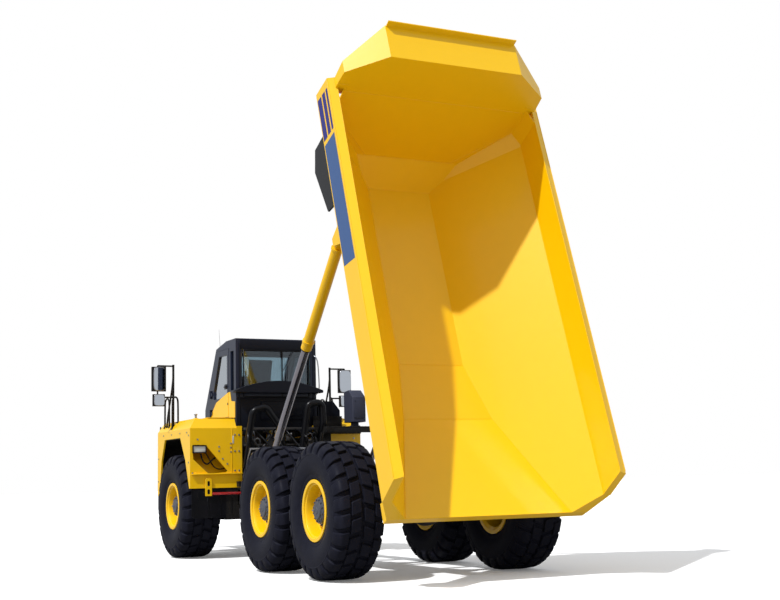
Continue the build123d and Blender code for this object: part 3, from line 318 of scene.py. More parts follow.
# ------------------------------------------------------------------ modelling by operators
class Bench:
    """The workbench: each method makes one finished mesh in place, in the truck's frame."""

    @staticmethod
    def clear() -> None:
        """Deselect everything."""
        for item in bpy.context.selected_objects:
            item.select_set(False)

    @staticmethod
    def pick(item: Item) -> None:
        """Select only one object and make it active.

        Args:
            item: The object.
        """
        Bench.clear()
        item.select_set(True)
        bpy.context.view_layer.objects.active = item

    @staticmethod
    def edit(*steps: Callable[[], object]) -> None:
        """Work on the active mesh in edit mode.

        Args:
            steps: What is done, each time with everything selected.
        """
        bpy.ops.object.mode_set(mode="EDIT")
        for step in steps:
            bpy.ops.mesh.select_all(action="SELECT")
            step()
        bpy.ops.object.mode_set(mode="OBJECT")

    @staticmethod
    def face_out() -> None:
        """Turn the selected faces outwards."""
        bpy.ops.mesh.normals_make_consistent(inside=False)

    @staticmethod
    def settle(item: Item, name: str) -> Item:
        """Name an object and move its place into its mesh.

        Args:
            item: The object.
            name: Its name, and its mesh's.

        Returns:
            The same object.
        """
        Bench.pick(item)
        bpy.ops.object.transform_apply(location=True, rotation=True, scale=True)
        item.name = name
        item.data.name = name
        return item

    @staticmethod
    def apply(item: Item, kind: str, **settings: object) -> None:
        """Add a modifier and apply it.

        Args:
            item: The object.
            kind: The modifier's type.
            settings: Attributes of the modifier.
        """
        Bench.pick(item)
        modifier = item.modifiers.new(kind.lower(), kind)
        for key, value in settings.items():
            setattr(modifier, key, value)
        bpy.ops.object.modifier_apply(modifier=modifier.name)

    @staticmethod
    def round_edges(item: Item, width: float, segments: int = 2) -> None:
        """Bevel an object's sharp edges and smooth its gentle ones.

        Args:
            item: The object.
            width: The bevel's width; nought leaves the edges as they are.
            segments: How many steps the bevel has.
        """
        if width:
            Bench.apply(item, "BEVEL", width=width, segments=segments, limit_method="ANGLE",
                        angle_limit=math.radians(SHARP_EDGE))
        Bench.smooth(item)

    @staticmethod
    def smooth(item: Item, angle: float = SHARP_EDGE) -> None:
        """Smooth the edges flatter than that many degrees."""
        Bench.pick(item)
        bpy.ops.object.shade_smooth_by_angle(angle=math.radians(angle))

    @staticmethod
    def join(items: Iterable[Item], name: str) -> Item:
        """Join objects into one.

        Args:
            items: The objects; the first one takes up the others.
            name: The name of what comes out.

        Returns:
            The joined object.
        """
        items = list(items)
        Bench.clear()
        for item in items:
            item.select_set(True)
        bpy.context.view_layer.objects.active = items[0]
        if len(items) > 1:
            bpy.ops.object.join()
        return Bench.settle(items[0], name)

    @staticmethod
    def copy(item: Item, place: Matrix) -> Item:
        """Copy an object with its own mesh.

        Args:
            item: The object.
            place: The matrix that moves the copy.

        Returns:
            The copy.
        """
        twin = item.copy()
        twin.data = item.data.copy()
        bpy.context.collection.objects.link(twin)
        twin.data.transform(place)
        if place.determinant() < 0:
            twin.data.flip_normals()
        return twin

    @staticmethod
    def block(low: Sequence[float], high: Sequence[float], bevel: float = 0.004) -> Item:
        """Make a box with rounded edges.

        Args:
            low: The corner with the smallest coordinates.
            high: The corner with the largest ones.
            bevel: The rounding of its edges.

        Returns:
            The box.
        """
        Bench.clear()
        low, high = Vector(low), Vector(high)
        bpy.ops.mesh.primitive_cube_add(size=1, location=(low + high) / 2, scale=high - low)
        item = Bench.settle(bpy.context.object, "block")
        Bench.round_edges(item, bevel)
        return item

    @staticmethod
    def rod(start: Sequence[float], end: Sequence[float], radius: float, sides: int = 24,
            bevel: float = 0.0, end_radius: float | None = None) -> Item:
        """Make a round bar, or a cone, between two places.

        Args:
            start: The middle of one end.
            end: The middle of the other.
            radius: The radius at the start.
            sides: How many sides the bar has.
            bevel: The rounding of its ends.
            end_radius: The radius at the end, where it differs.

        Returns:
            The bar.
        """
        Bench.clear()
        start, end = Vector(start), Vector(end)
        turn = (end - start).to_track_quat("Z", "Y").to_euler()
        bpy.ops.mesh.primitive_cone_add(vertices=sides, radius1=radius,
                                        radius2=radius if end_radius is None else end_radius,
                                        depth=(end - start).length, location=(start + end) / 2, rotation=turn)
        item = Bench.settle(bpy.context.object, "rod")
        Bench.round_edges(item, bevel)
        return item

    @staticmethod
    def spun(profile: Profile, origin: Sequence[float], out: Sequence[float], steps: int = 64) -> Item:
        """Turn a closed profile round an axis.

        Args:
            profile: Places as (radius, distance along the axis).
            origin: A place on the axis.
            out: The axis.
            steps: How many steps the full turn has.

        Returns:
            The turned piece.
        """
        Bench.clear()
        bpy.ops.mesh.primitive_circle_add(vertices=len(profile), radius=1, location=(0, 0, 0))
        item = bpy.context.object
        for vertex, (radius, along) in zip(item.data.vertices, profile):
            vertex.co = (radius, 0, along)
        Bench.edit(lambda: bpy.ops.mesh.spin(steps=steps, angle=2 * math.pi, center=(0, 0, 0), axis=(0, 0, 1)),
                   lambda: bpy.ops.mesh.remove_doubles(threshold=SEAM_GAP), Bench.face_out)
        turn = Vector(out).to_track_quat("Z", "Y").to_matrix().to_4x4()
        item.data.transform(Matrix.Translation(Vector(origin)) @ turn)
        Bench.smooth(item, 30)
        return item

    @staticmethod
    def plate(outline: Profile, place: Matrix, thickness: float, bevel: float = 0.002) -> Item:
        """Make a plate from an outline.

        Args:
            outline: Its corners in its own plane.
            place: From that plane, with Z as the plate's outward side, to the truck.
            thickness: How far it stands out along Z.
            bevel: The rounding of its edges.

        Returns:
            The plate.
        """
        Bench.clear()
        bpy.ops.mesh.primitive_circle_add(vertices=len(outline), radius=1, fill_type="NGON", location=(0, 0, 0))
        item = bpy.context.object
        for vertex, (x, y) in zip(item.data.vertices, outline):
            vertex.co = (x, y, 0)
        rise = {"value": (0, 0, thickness)}
        Bench.edit(lambda: bpy.ops.mesh.extrude_region_move(TRANSFORM_OT_translate=rise), Bench.face_out)
        item.data.transform(place)
        if place.determinant() < 0:
            item.data.flip_normals()
        Bench.round_edges(item, bevel, 1)
        return item

    @staticmethod
    def pipe(route: Sequence[Sequence[float]], radius: float, sides: int = 6, cyclic: bool = False,
             sharp: bool = False) -> Item:
        """Make a bent pipe along a route.

        Args:
            route: The places it runs through.
            radius: Its outside radius.
            sides: The bevel resolution of its section.
            cyclic: Whether it closes on itself.
            sharp: Straight runs in place of a flowing line.

        Returns:
            The pipe as a mesh.
        """
        Bench.clear()
        curve = bpy.data.curves.new("pipe", "CURVE")
        curve.dimensions = "3D"
        curve.bevel_depth = radius
        curve.bevel_resolution = sides
        curve.resolution_u = 8
        curve.use_fill_caps = True
        spline = curve.splines.new("POLY" if sharp else "NURBS")
        spline.points.add(len(route) - 1)
        for point, place in zip(spline.points, route):
            point.co = (*place, 1.0)
        spline.use_cyclic_u = cyclic
        if not sharp:
            spline.order_u = 3
            spline.use_endpoint_u = not cyclic
        item = bpy.data.objects.new("pipe", curve)
        bpy.context.collection.objects.link(item)
        Bench.pick(item)
        bpy.ops.object.convert(target="MESH")
        Bench.smooth(item, 50)
        return item

    @staticmethod
    def dress(item: Item, finish: Finishes, body: str, name: str) -> Item:
        """Give a piece its finish and its name, and let it ride on a body.

        Args:
            item: The piece.
            finish: Its finish.
            body: The body that it rides on.
            name: Its name.

        Returns:
            The same piece.
        """
        item = Bench.settle(item, name)
        item.data.materials.clear()
        item.data.materials.append(finish.material)
        for polygon in item.data.polygons:
            polygon.material_index = 0
        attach(item, body)
        log.info("%s: %d faces, rides on %s", name, len(item.data.polygons), body)
        return item


def ring(item: Item, centre: Sequence[float], axis: Sequence[float], count: int,
         offset: float = 0.0) -> list[Item]:
    """Copy an object round an axis and drop the first one.

    Args:
        item: The object at angle nought.
        centre: A place on the axis.
        axis: The axis.
        count: How many copies stand evenly round it.
        offset: How far the first copy is turned on, in radians.

    Returns:
        The copies.
    """
    to_centre = Matrix.Translation(Vector(centre))
    copies = []
    for index in range(count):
        turn = Matrix.Rotation(offset + 2 * math.pi * index / count, 4, Vector(axis))
        copies.append(Bench.copy(item, to_centre @ turn @ to_centre.inverted()))
    bpy.data.objects.remove(item)
    return copies


@dataclass(frozen=True)
class Span:
    """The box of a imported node, in metres."""

    low: Vector
    high: Vector

    @classmethod
    def of(cls, node: str) -> "Span":
        """Return the box of a node at rest."""
        low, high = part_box(node)
        return cls(Vector(low), Vector(high))

    @property
    def centre(self) -> Vector:
        """The middle of the box."""
        return (self.low + self.high) / 2


class Side(Enum):
    """A side of the truck."""

    LEFT = 1
    RIGHT = -1

    @property
    def word(self) -> str:
        """The side's word in node and body names."""
        return self.name.lower()


def dress_node(node: str, finish: Finishes) -> None:
    """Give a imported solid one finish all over.

    Args:
        node: The solid's name in the frame.
        finish: Its finish.
    """
    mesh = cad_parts[node].data
    mesh.materials.clear()
    mesh.materials.append(finish.material)
    log.info("%s dressed in %s", node, finish.value.name)


# ------------------------------------------------------------------ places
MIDDLE_AXLE = Span.of("tyre_middle_left").centre


def at(ahead: float, left: float, up: float) -> Vector:
    """Return a place given in metres ahead of the middle axle, to the left of the middle and over the ground."""
    return Vector((MIDDLE_AXLE.x + ahead, left, up))


def frame_of(x_axis: Sequence[float], y_axis: Sequence[float], origin: Sequence[float]) -> Matrix:
    """Set a plane on the truck.

    Args:
        x_axis: The plane's X.
        y_axis: Its Y, square to X; Z then follows.
        origin: Its origin.

    Returns:
        The matrix from the plane to the truck.
    """
    x_axis, y_axis = Vector(x_axis).normalized(), Vector(y_axis).normalized()
    turn = Matrix((x_axis, y_axis, x_axis.cross(y_axis))).transposed().to_4x4()
    return Matrix.Translation(Vector(origin)) @ turn


def along_plane(left: float) -> Matrix:
    """Return the upright plane that runs along the truck that far to the left: its X points ahead, its Y up."""
    return frame_of((1, 0, 0), (0, 0, 1), at(0, left, 0))


def back_plane(ahead: float, left: float, up: float) -> Matrix:
    """Return the upright plane that faces back from a place: its X points to the right, its Y up."""
    return frame_of((0, -1, 0), (0, 0, 1), at(ahead, left, up))


@dataclass(frozen=True)
class BedPlane:
    """The dump body's own directions: u along its floor to the front, y to the left and w off its floor."""

    bend: tuple[float, float] = (-2.2473, 2.7266)
    tip: float = 72.0

    @property
    def matrix(self) -> Matrix:
        """From (u, y, w) to the truck."""
        turn = Matrix.Rotation(-math.radians(self.tip), 4, "Y")
        return Matrix.Translation(at(self.bend[0], 0, self.bend[1])) @ turn

    def place(self, u: float, y: float, w: float) -> Vector:
        """Return the place of (u, y, w) on the truck."""
        return self.matrix @ Vector((u, y, w))


BED = BedPlane()


# ------------------------------------------------------------------ wheels
@dataclass(frozen=True)
class Wheel:
    """A wheel with its earth-mover tyre, disc rim and planetary hub.

    Distances from the middle plane are measured out of the truck.
    """

    axle: str
    side: Side
    radius: float = 0.875
    rows: int = 24

    @property
    def node(self) -> str:
        """The end of the wheel's node names."""
        return f"{self.axle}_{self.side.word}"

    @property
    def body(self) -> str:
        """The body that turns."""
        return f"{self.axle}_wheel_{self.side.word}"

    @property
    def centre(self) -> Vector:
        """The middle of the tyre."""
        return Span.of(f"tyre_{self.node}").centre

    @property
    def out(self) -> Vector:
        """The direction out of the truck."""
        return Vector((0, self.side.value, 0))

    def carcass(self) -> Item:
        """Turn the tyre without its tread: sidewalls, shoulders and the hollow inside.

        Returns:
            The carcass.
        """
        half = [(0.398, 0.268), (0.404, 0.286), (0.43, 0.298), (0.455, 0.3), (0.462, 0.305), (0.52, 0.322),
                (0.59, 0.333), (0.65, 0.335), (0.7, 0.33), (0.706, 0.333), (0.716, 0.332), (0.722, 0.326),
                (0.765, 0.308), (0.8, 0.282), (0.822, 0.25), (0.83, 0.2), (0.835, 0.11)]
        outside = half + [(0.836, 0.0)] + [(r, -y) for r, y in reversed(half)]
        inside = [(0.4, -0.235), (0.6, -0.305), (0.77, -0.262), (0.795, 0.0), (0.77, 0.262),
                  (0.6, 0.305), (0.4, 0.235)]
        return Bench.spun(outside + inside, self.centre, self.out, 96)

    def lug(self, tops: Profile, foot: float, start: float, end: float, slant: float,
            half: float) -> Item:
        """Make one tread lug.

        Args:
            tops: The lug's top from the tread's middle outwards, as (distance out, radius).
            foot: How far the lug reaches in under its top.
            start: Where it starts round the tyre at the tread's middle, in metres.
            end: Where it ends there.
            slant: How far it swings back per metre outwards.
            half: 1 for the outer half of the tread and -1 for the inner one.

        Returns:
            The lug with drafted sides, standing over the hub.
        """
        Bench.clear()
        count = len(tops)
        bpy.ops.mesh.primitive_grid_add(x_subdivisions=count - 1, y_subdivisions=1, size=1)
        item = bpy.context.object
        rows = sorted(item.data.vertices, key=lambda v: (round(v.co.x, 4), v.co.y))
        corners = {}
        for index, vertex in enumerate(rows):
            across, radius = tops[index // 2]
            along = (end if index % 2 else start) - slant * across
            corners[vertex.index] = (across, radius, along)
        Bench.edit(bpy.ops.mesh.extrude_region_move)
        total = len(rows)
        middle = (start + end) / 2
        for vertex in item.data.vertices:
            across, radius, along = corners[vertex.index % total]
            low = vertex.index < total
            if low:
                radius -= foot
                along += math.copysign(0.01, along - (middle - slant * across))
            turn = along / self.radius
            vertex.co = (radius * math.sin(turn), half * across, radius * math.cos(turn))
        Bench.edit(Bench.face_out)
        Bench.round_edges(item, 0.006, 1)
        return item

    def tread(self) -> list[Item]:
        """Make the lugs: two staggered columns on each half, the outer ones over the shoulder.

        Returns:
            All lugs, each in its place.
        """
        pitch = 2 * math.pi * self.radius / self.rows
        inner_top = [(0.022, 0.8748), (0.09, 0.8745), (0.15, 0.8728)]
        outer_top = [(0.17, 0.8722), (0.215, 0.869), (0.247, 0.864), (0.285, 0.846), (0.314, 0.806),
                     (0.33, 0.752)]
        tie_top = [(0.13, 0.856), (0.2, 0.854)]
        lugs = []
        for half, shift in ((1, 0.0), (-1, pitch / 2)):
            middle = self.lug(inner_top, foot=0.045, start=0.0, end=pitch * 0.7, slant=0.35, half=half)
            shoulder = self.lug(outer_top, foot=0.048, start=pitch * 0.42, end=pitch * 1.1, slant=0.3, half=half)
            tie = self.lug(tie_top, foot=0.03, start=pitch * 0.45, end=pitch * 0.62, slant=0.3, half=half)
            for piece in (middle, shoulder, tie):
                lugs += ring(piece, (0, 0, 0), (0, self.side.value, 0), self.rows, shift / self.radius)
        place = Matrix.Translation(self.centre)
        if self.side is Side.RIGHT:
            place = place @ Matrix.Rotation(math.pi, 4, "Z")
        for piece in lugs:
            piece.data.transform(place)
        return lugs

    def tyre(self) -> None:
        """Build the tyre."""
        item = Bench.join([self.carcass(), *self.tread()], f"tyre_{self.node}_tread")
        Bench.smooth(item, 32)
        Bench.dress(item, Finishes.TYRE, self.body, f"tyre_{self.node}_tread")
        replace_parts(item, f"tyre_{self.node}")

    def rim(self) -> None:
        """Build the rim with its stepped flange, deep disc, wheel nuts and valve."""
        profile = [(.332, .262), (.340, .272), (.386, .274), (.393, .279), (.393, .290), (.388, .295), (.352, .295),
                   (.344, .288), (.340, .270), (.326, .262), (.318, .240), (.312, .150), (.306, .128), (.290, .120),
                   (.235, .112), (.205, .108), (.205, .094), (.300, .094), (.304, .080), (.304, -.26),
                   (.342, -.294), (.393, -.294), (.393, -.273), (.332, -.273)]
        item = Bench.dress(Bench.spun(profile, self.centre, self.out, 96), Finishes.YELLOW, self.body,
                           f"rim_{self.node}_disc")
        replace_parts(item, f"rim_{self.node}")
        self.ring_of_nuts("rim_nuts", Finishes.YELLOW, radius=0.262, foot=0.112, count=20, size=0.017, height=0.024)
        spot = self.centre + Vector((0.286, 0, 0))
        valve = Bench.rod(spot + self.out * 0.11, spot + self.out * 0.2, 0.01, 12, 0.002)
        Bench.dress(valve, Finishes.ZINC, self.body, f"valve_{self.node}")

    def ring_of_nuts(self, word: str, finish: Finishes, radius: float, foot: float, count: int, size: float,
                     height: float) -> None:
        """Build an even ring of hexagon heads on washers.

        Args:
            word: The start of the ring's name.
            finish: Its finish.
            radius: The radius of the ring.
            foot: How far out of the tyre's middle plane the nuts sit.
            count: How many nuts there are.
            size: A nut's radius over its corners.
            height: How high it stands.
        """
        spot = self.centre + Vector((0, 0, radius))
        washer = Bench.rod(spot + self.out * (foot - 0.004), spot + self.out * (foot + 0.005), size * 1.25, 16)
        head = Bench.rod(spot + self.out * foot, spot + self.out * (foot + height), size, 6, 0.002)
        nuts = ring(Bench.join([washer, head], word), self.centre, (0, 1, 0), count, math.pi / count)
        Bench.dress(Bench.join(nuts, word), finish, self.body, f"{word}_{self.node}")

    def hub(self) -> None:
        """Build the planetary hub: drum, stepped cover, two rings of bolts and an oil plug."""
        profile = [(0, .264), (.040, .264), (.046, .258), (.104, .256), (.112, .250), (.116, .238), (.156, .228),
                   (.164, .222), (.167, .172), (.198, .168), (.207, .162), (.211, .152), (.211, -.06), (0, -.06)]
        Bench.dress(Bench.spun(profile, self.centre, self.out, 64), Finishes.HUB_GREY, self.body, f"hub_{self.node}")
        self.ring_of_nuts("hub_bolts", Finishes.HUB_GREY, radius=0.187, foot=0.166, count=16, size=0.012, height=0.018)
        self.ring_of_nuts("cover_bolts", Finishes.HUB_GREY, radius=0.138, foot=0.231, count=12, size=0.011,
                          height=0.016)
        plug = self.centre + Vector((0.076, 0, 0))
        Bench.dress(Bench.rod(plug + self.out * 0.25, plug + self.out * 0.275, 0.016, 6, 0.002), Finishes.ZINC,
                    self.body, f"oil_plug_{self.node}")

    def build(self) -> None:
        """Build the whole wheel."""
        self.tyre()
        self.rim()
        self.hub()


# ------------------------------------------------------------------ dump body
@dataclass(frozen=True)
class DumpBody:
    """The tipped body: painted plates, blue stripes on both side walls and seams where plates meet."""

    wall_low: tuple[float, float] = (1.568, 1.048)
    wall_high: tuple[float, float] = (1.574, 1.438)
    stand_off: float = 0.0015

    def wall_plane(self, side: Side) -> Matrix:
        """Set the plane of a side wall: its X runs along the body, its Y up the wall, its Z out.

        Args:
            side: The wall's side.

        Returns:
            The matrix from the wall's plane to the truck.
        """
        (y_low, w_low), (y_high, w_high) = self.wall_low, self.wall_high
        along = BED.matrix.to_3x3() @ Vector((1, 0, 0))
        up = BED.matrix.to_3x3() @ Vector((0, (y_high - y_low) * side.value, w_high - w_low)).normalized()
        outward = BED.matrix.to_3x3() @ Vector((0, (w_high - w_low) * side.value, y_low - y_high)).normalized()
        turn = Matrix((along, up, outward)).transposed().to_4x4()
        return Matrix.Translation(BED.place(0, y_low * side.value, w_low)) @ turn

    def stripes(self, side: Side) -> None:
        """Lay the vinyl stripes on one side wall.

        Args:
            side: The wall's side.
        """
        plane = self.wall_plane(side)
        shapes = {
            "band": (Finishes.MID_BLUE, [(0.82, 0.02), (2.55, 0.02), (2.56, 0.35), (0.77, 0.35)]),
            "stripe_wide": (Finishes.DARK_BLUE, [(2.615, 0.02), (3.24, 0.02), (3.236, 0.14), (2.617, 0.14)]),
            "stripe_middle": (Finishes.DARK_BLUE, [(2.618, 0.175), (3.235, 0.175), (3.232, 0.265), (2.62, 0.265)]),
            "stripe_narrow": (Finishes.DARK_BLUE, [(2.621, 0.3), (3.23, 0.3), (3.228, 0.35), (2.622, 0.35)])}
        for word, (finish, outline) in shapes.items():
            vinyl = Bench.plate(outline, plane, self.stand_off, 0.0)
            Bench.dress(vinyl, finish, "dump_body", f"{word}_{side.word}")

    def seams(self) -> None:
        """Lay the weld beads along the folds of the load space and the rolled edge of the side rails."""
        beads = Cluster("weld_beads", Finishes.YELLOW, "dump_body")

        def bead(route: Sequence[Point], radius: float = 0.0045) -> None:
            """Lay a bead on both sides of the body.

            Args:
                route: Its places (u, y, w) on the left.
                radius: Its radius.
            """
            for s in (1, -1):
                places = [BED.place(u, s * y, w) for u, y, w in route]
                beads.items.append(Bench.pipe(places, radius, sides=2, sharp=True))

        bead([(2.66, 0.592, 0.001), (0.0, 0.475, 0.001), (-0.835, 0.645, 0.19), (-2.274, 1.145, 0.746)])
        bead([(-2.165, 1.45, 1.06), (0.0, 1.45, 1.066), (2.885, 1.45, 1.066)], 0.0035)
        bead([(0.0, 0.0, 0.001), (0.0, 0.475, 0.001)], 0.0035)
        bead([(-0.835, 0.0, 0.19), (-0.835, 0.645, 0.19)], 0.0035)
        bead([(2.66, 0.0, 0.002), (2.66, 0.592, 0.002)])
        bead([(2.934, 0.0, 0.409), (2.934, 0.655, 0.409), (3.088, 1.346, 1.069)])
        bead([(3.178, 0.0, 1.445), (3.178, 1.345, 1.445)], 0.004)
        bead([(-1.995, 1.573, 1.437), (3.34, 1.573, 1.437)], 0.007)
        bead([(-2.0, 1.466, 1.485), (3.34, 1.466, 1.485)], 0.006)
        beads.done()
        gusset = Cluster("guard_gussets", Finishes.YELLOW, "dump_body")
        for s in (1, -1):
            low, high = (3.19, 1.33 * s, 1.36), (3.205, 1.49 * s, 1.56)
            part = Bench.block([min(a, b) for a, b in zip(low, high)], [max(a, b) for a, b in zip(low, high)], 0.003)
            part.data.transform(BED.matrix)
            gusset.items.append(part)
        gusset.done()

    def build(self) -> None:
        """Dress the plates and lay the stripes."""
        self.seams()
        for node in ("bed_floor", "bed_side_left", "bed_side_right", "headboard"):
            dress_node(node, Finishes.YELLOW)
        dress_node("mudguards", Finishes.RUBBER)
        for side in Side:
            self.stripes(side)


# ------------------------------------------------------------------ hoists
@dataclass(frozen=True)
class Hoist:
    """A two-stage tipping cylinder: painted barrel with collars, chromed stage and rod."""

    side: Side
    head: tuple[float, float] = (-1.2854, 4.5254)
    foot: tuple[float, float] = (2.4, 0.6)
    out: float = 0.855
    barrel_end: float = 1.882
    stage_end: float = 3.596
    bore: float = 0.074

    def along(self, distance: float) -> Vector:
        """Find a place on the cylinder's axis.

        Args:
            distance: How far it is down from the upper pin.

        Returns:
            The place.
        """
        start = at(self.head[0], self.out * self.side.value, self.head[1])
        end = at(self.foot[0], self.out * self.side.value, self.foot[1])
        return start + (end - start).normalized() * distance

    def build(self) -> None:
        """Dress the three tubes and add collars, a wiper and the stage's gland."""
        word = self.side.word
        dress_node(f"hoist_barrel_{word}", Finishes.YELLOW)
        dress_node(f"hoist_stage_{word}", Finishes.CHROME)
        dress_node(f"hoist_rod_{word}", Finishes.CHROME)
        out = self.along(1.0) - self.along(0.0)
        bands = []
        for start, end, radius in ((1.73, 1.765, 0.09), (1.85, 1.879, 0.0805), (0.125, 0.16, 0.09)):
            section = [(self.bore, start), (radius, start), (radius, end), (self.bore, end)]
            bands.append(Bench.spun(section, self.along(0.0), out, 48))
            Bench.round_edges(bands[-1], 0.003)
        Bench.dress(Bench.join(bands, "collars"), Finishes.YELLOW, f"hoist_barrel_{word}", f"barrel_collars_{word}")
        section = [(0.0625, 0.0), (0.076, 0.0), (0.072, 0.02), (0.0625, 0.02)]
        seal = Bench.spun(section, self.along(self.barrel_end), out, 48)
        Bench.dress(seal, Finishes.RUBBER, f"hoist_barrel_{word}", f"barrel_wiper_{word}")
        section = [(0.0495, -0.002), (0.0608, -0.002), (0.0608, 0.003), (0.058, 0.009), (0.0495, 0.009)]
        gland = Bench.spun(section, self.along(self.stage_end), out, 48)
        Bench.dress(gland, Finishes.ZINC, f"hoist_stage_{word}", f"stage_gland_{word}")


# ------------------------------------------------------------------ pieces of one finish
class Cluster:
    """Small pieces of one finish on one body, which are joined into one named piece at the end.

    Places are given as (metres ahead of the middle axle, metres to the left, metres up). A cluster with a side takes
    them for the left side and mirrors them where its side is the right one.
    """

    def __init__(self, name: str, finish: Finishes, body: str = "tractor", side: Side | None = None) -> None:
        """Start an empty cluster.

        Args:
            name: The joined piece's name, which the side's word is put behind.
            finish: Its finish.
            body: The body that it rides on.
            side: The side that it stands on, where both sides have one.
        """
        self.name = f"{name}_{side.word}" if side else name
        self.finish, self.body, self.sign = finish, body, side.value if side else 1
        self.items: list[Item] = []

    def spot(self, ahead: float, left: float, up: float) -> Vector:
        """Return a place on the cluster's own side."""
        return at(ahead, self.sign * left, up)

    def block(self, low: Point, high: Point, bevel: float = 0.003) -> None:
        """Add a rounded box between two corners."""
        pairs = [sorted(pair) for pair in zip(self.spot(*low), self.spot(*high))]
        self.items.append(Bench.block([p[0] for p in pairs], [p[1] for p in pairs], bevel))

    def rod(self, start: Point, end: Point, radius: float, sides: int = 16, bevel: float = 0.001,
            end_radius: float | None = None) -> None:
        """Add a round bar or a cone."""
        self.items.append(Bench.rod(self.spot(*start), self.spot(*end), radius, sides, bevel, end_radius))

    def pipe(self, route: Sequence[Point], radius: float, sharp: bool = False, cyclic: bool = False) -> None:
        """Add a bent pipe."""
        self.items.append(Bench.pipe([self.spot(*p) for p in route], radius, 3, cyclic, sharp))

    def plate(self, outline: Profile, place: Matrix, thickness: float, bevel: float = 0.001) -> None:
        """Add a plate that stands off a plane."""
        self.items.append(Bench.plate(outline, place, thickness, bevel))

    def spun(self, profile: Profile, origin: Point, out: Point, steps: int = 32) -> None:
        """Add a turned piece."""
        self.items.append(Bench.spun(profile, self.spot(*origin), out, steps))

    def heads(self, places: Iterable[Point], out: Point, size: float = 0.012, height: float = 0.01) -> None:
        """Add hexagon heads on washers, standing out of a face.

        Args:
            places: Where they stand.
            out: The direction out of the face.
            size: A head's radius over its corners.
            height: How high it stands.
        """
        way = Vector((out[0], self.sign * out[1], out[2])).normalized()
        for place in places:
            start = self.spot(*place)
            self.items.append(Bench.rod(start - way * 0.002, start + way * 0.003, size * WASHER_SHARE, 16))
            self.items.append(Bench.rod(start, start + way * height, size, 6, 0.001))

    def done(self) -> Item:
        """Join what was added and dress it."""
        return Bench.dress(Bench.join(self.items, self.name), self.finish, self.body, self.name)


def oval(width: float, height: float, centre: tuple[float, float], steps: int = 24) -> list[tuple[float, float]]:
    """Draw an upright oval with round ends.

    Args:
        width: Its width.
        height: Its height, more than the width.
        centre: Its middle.
        steps: How many corners it has.

    Returns:
        Its outline.
    """
    radius = width / 2
    rise = height / 2 - radius
    outline = []
    for index in range(steps):
        turn = 2 * math.pi * index / steps
        shift = rise if math.sin(turn) > 0 else -rise
        outline.append((centre[0] + radius * math.cos(turn), centre[1] + shift + radius * math.sin(turn)))
    return outline


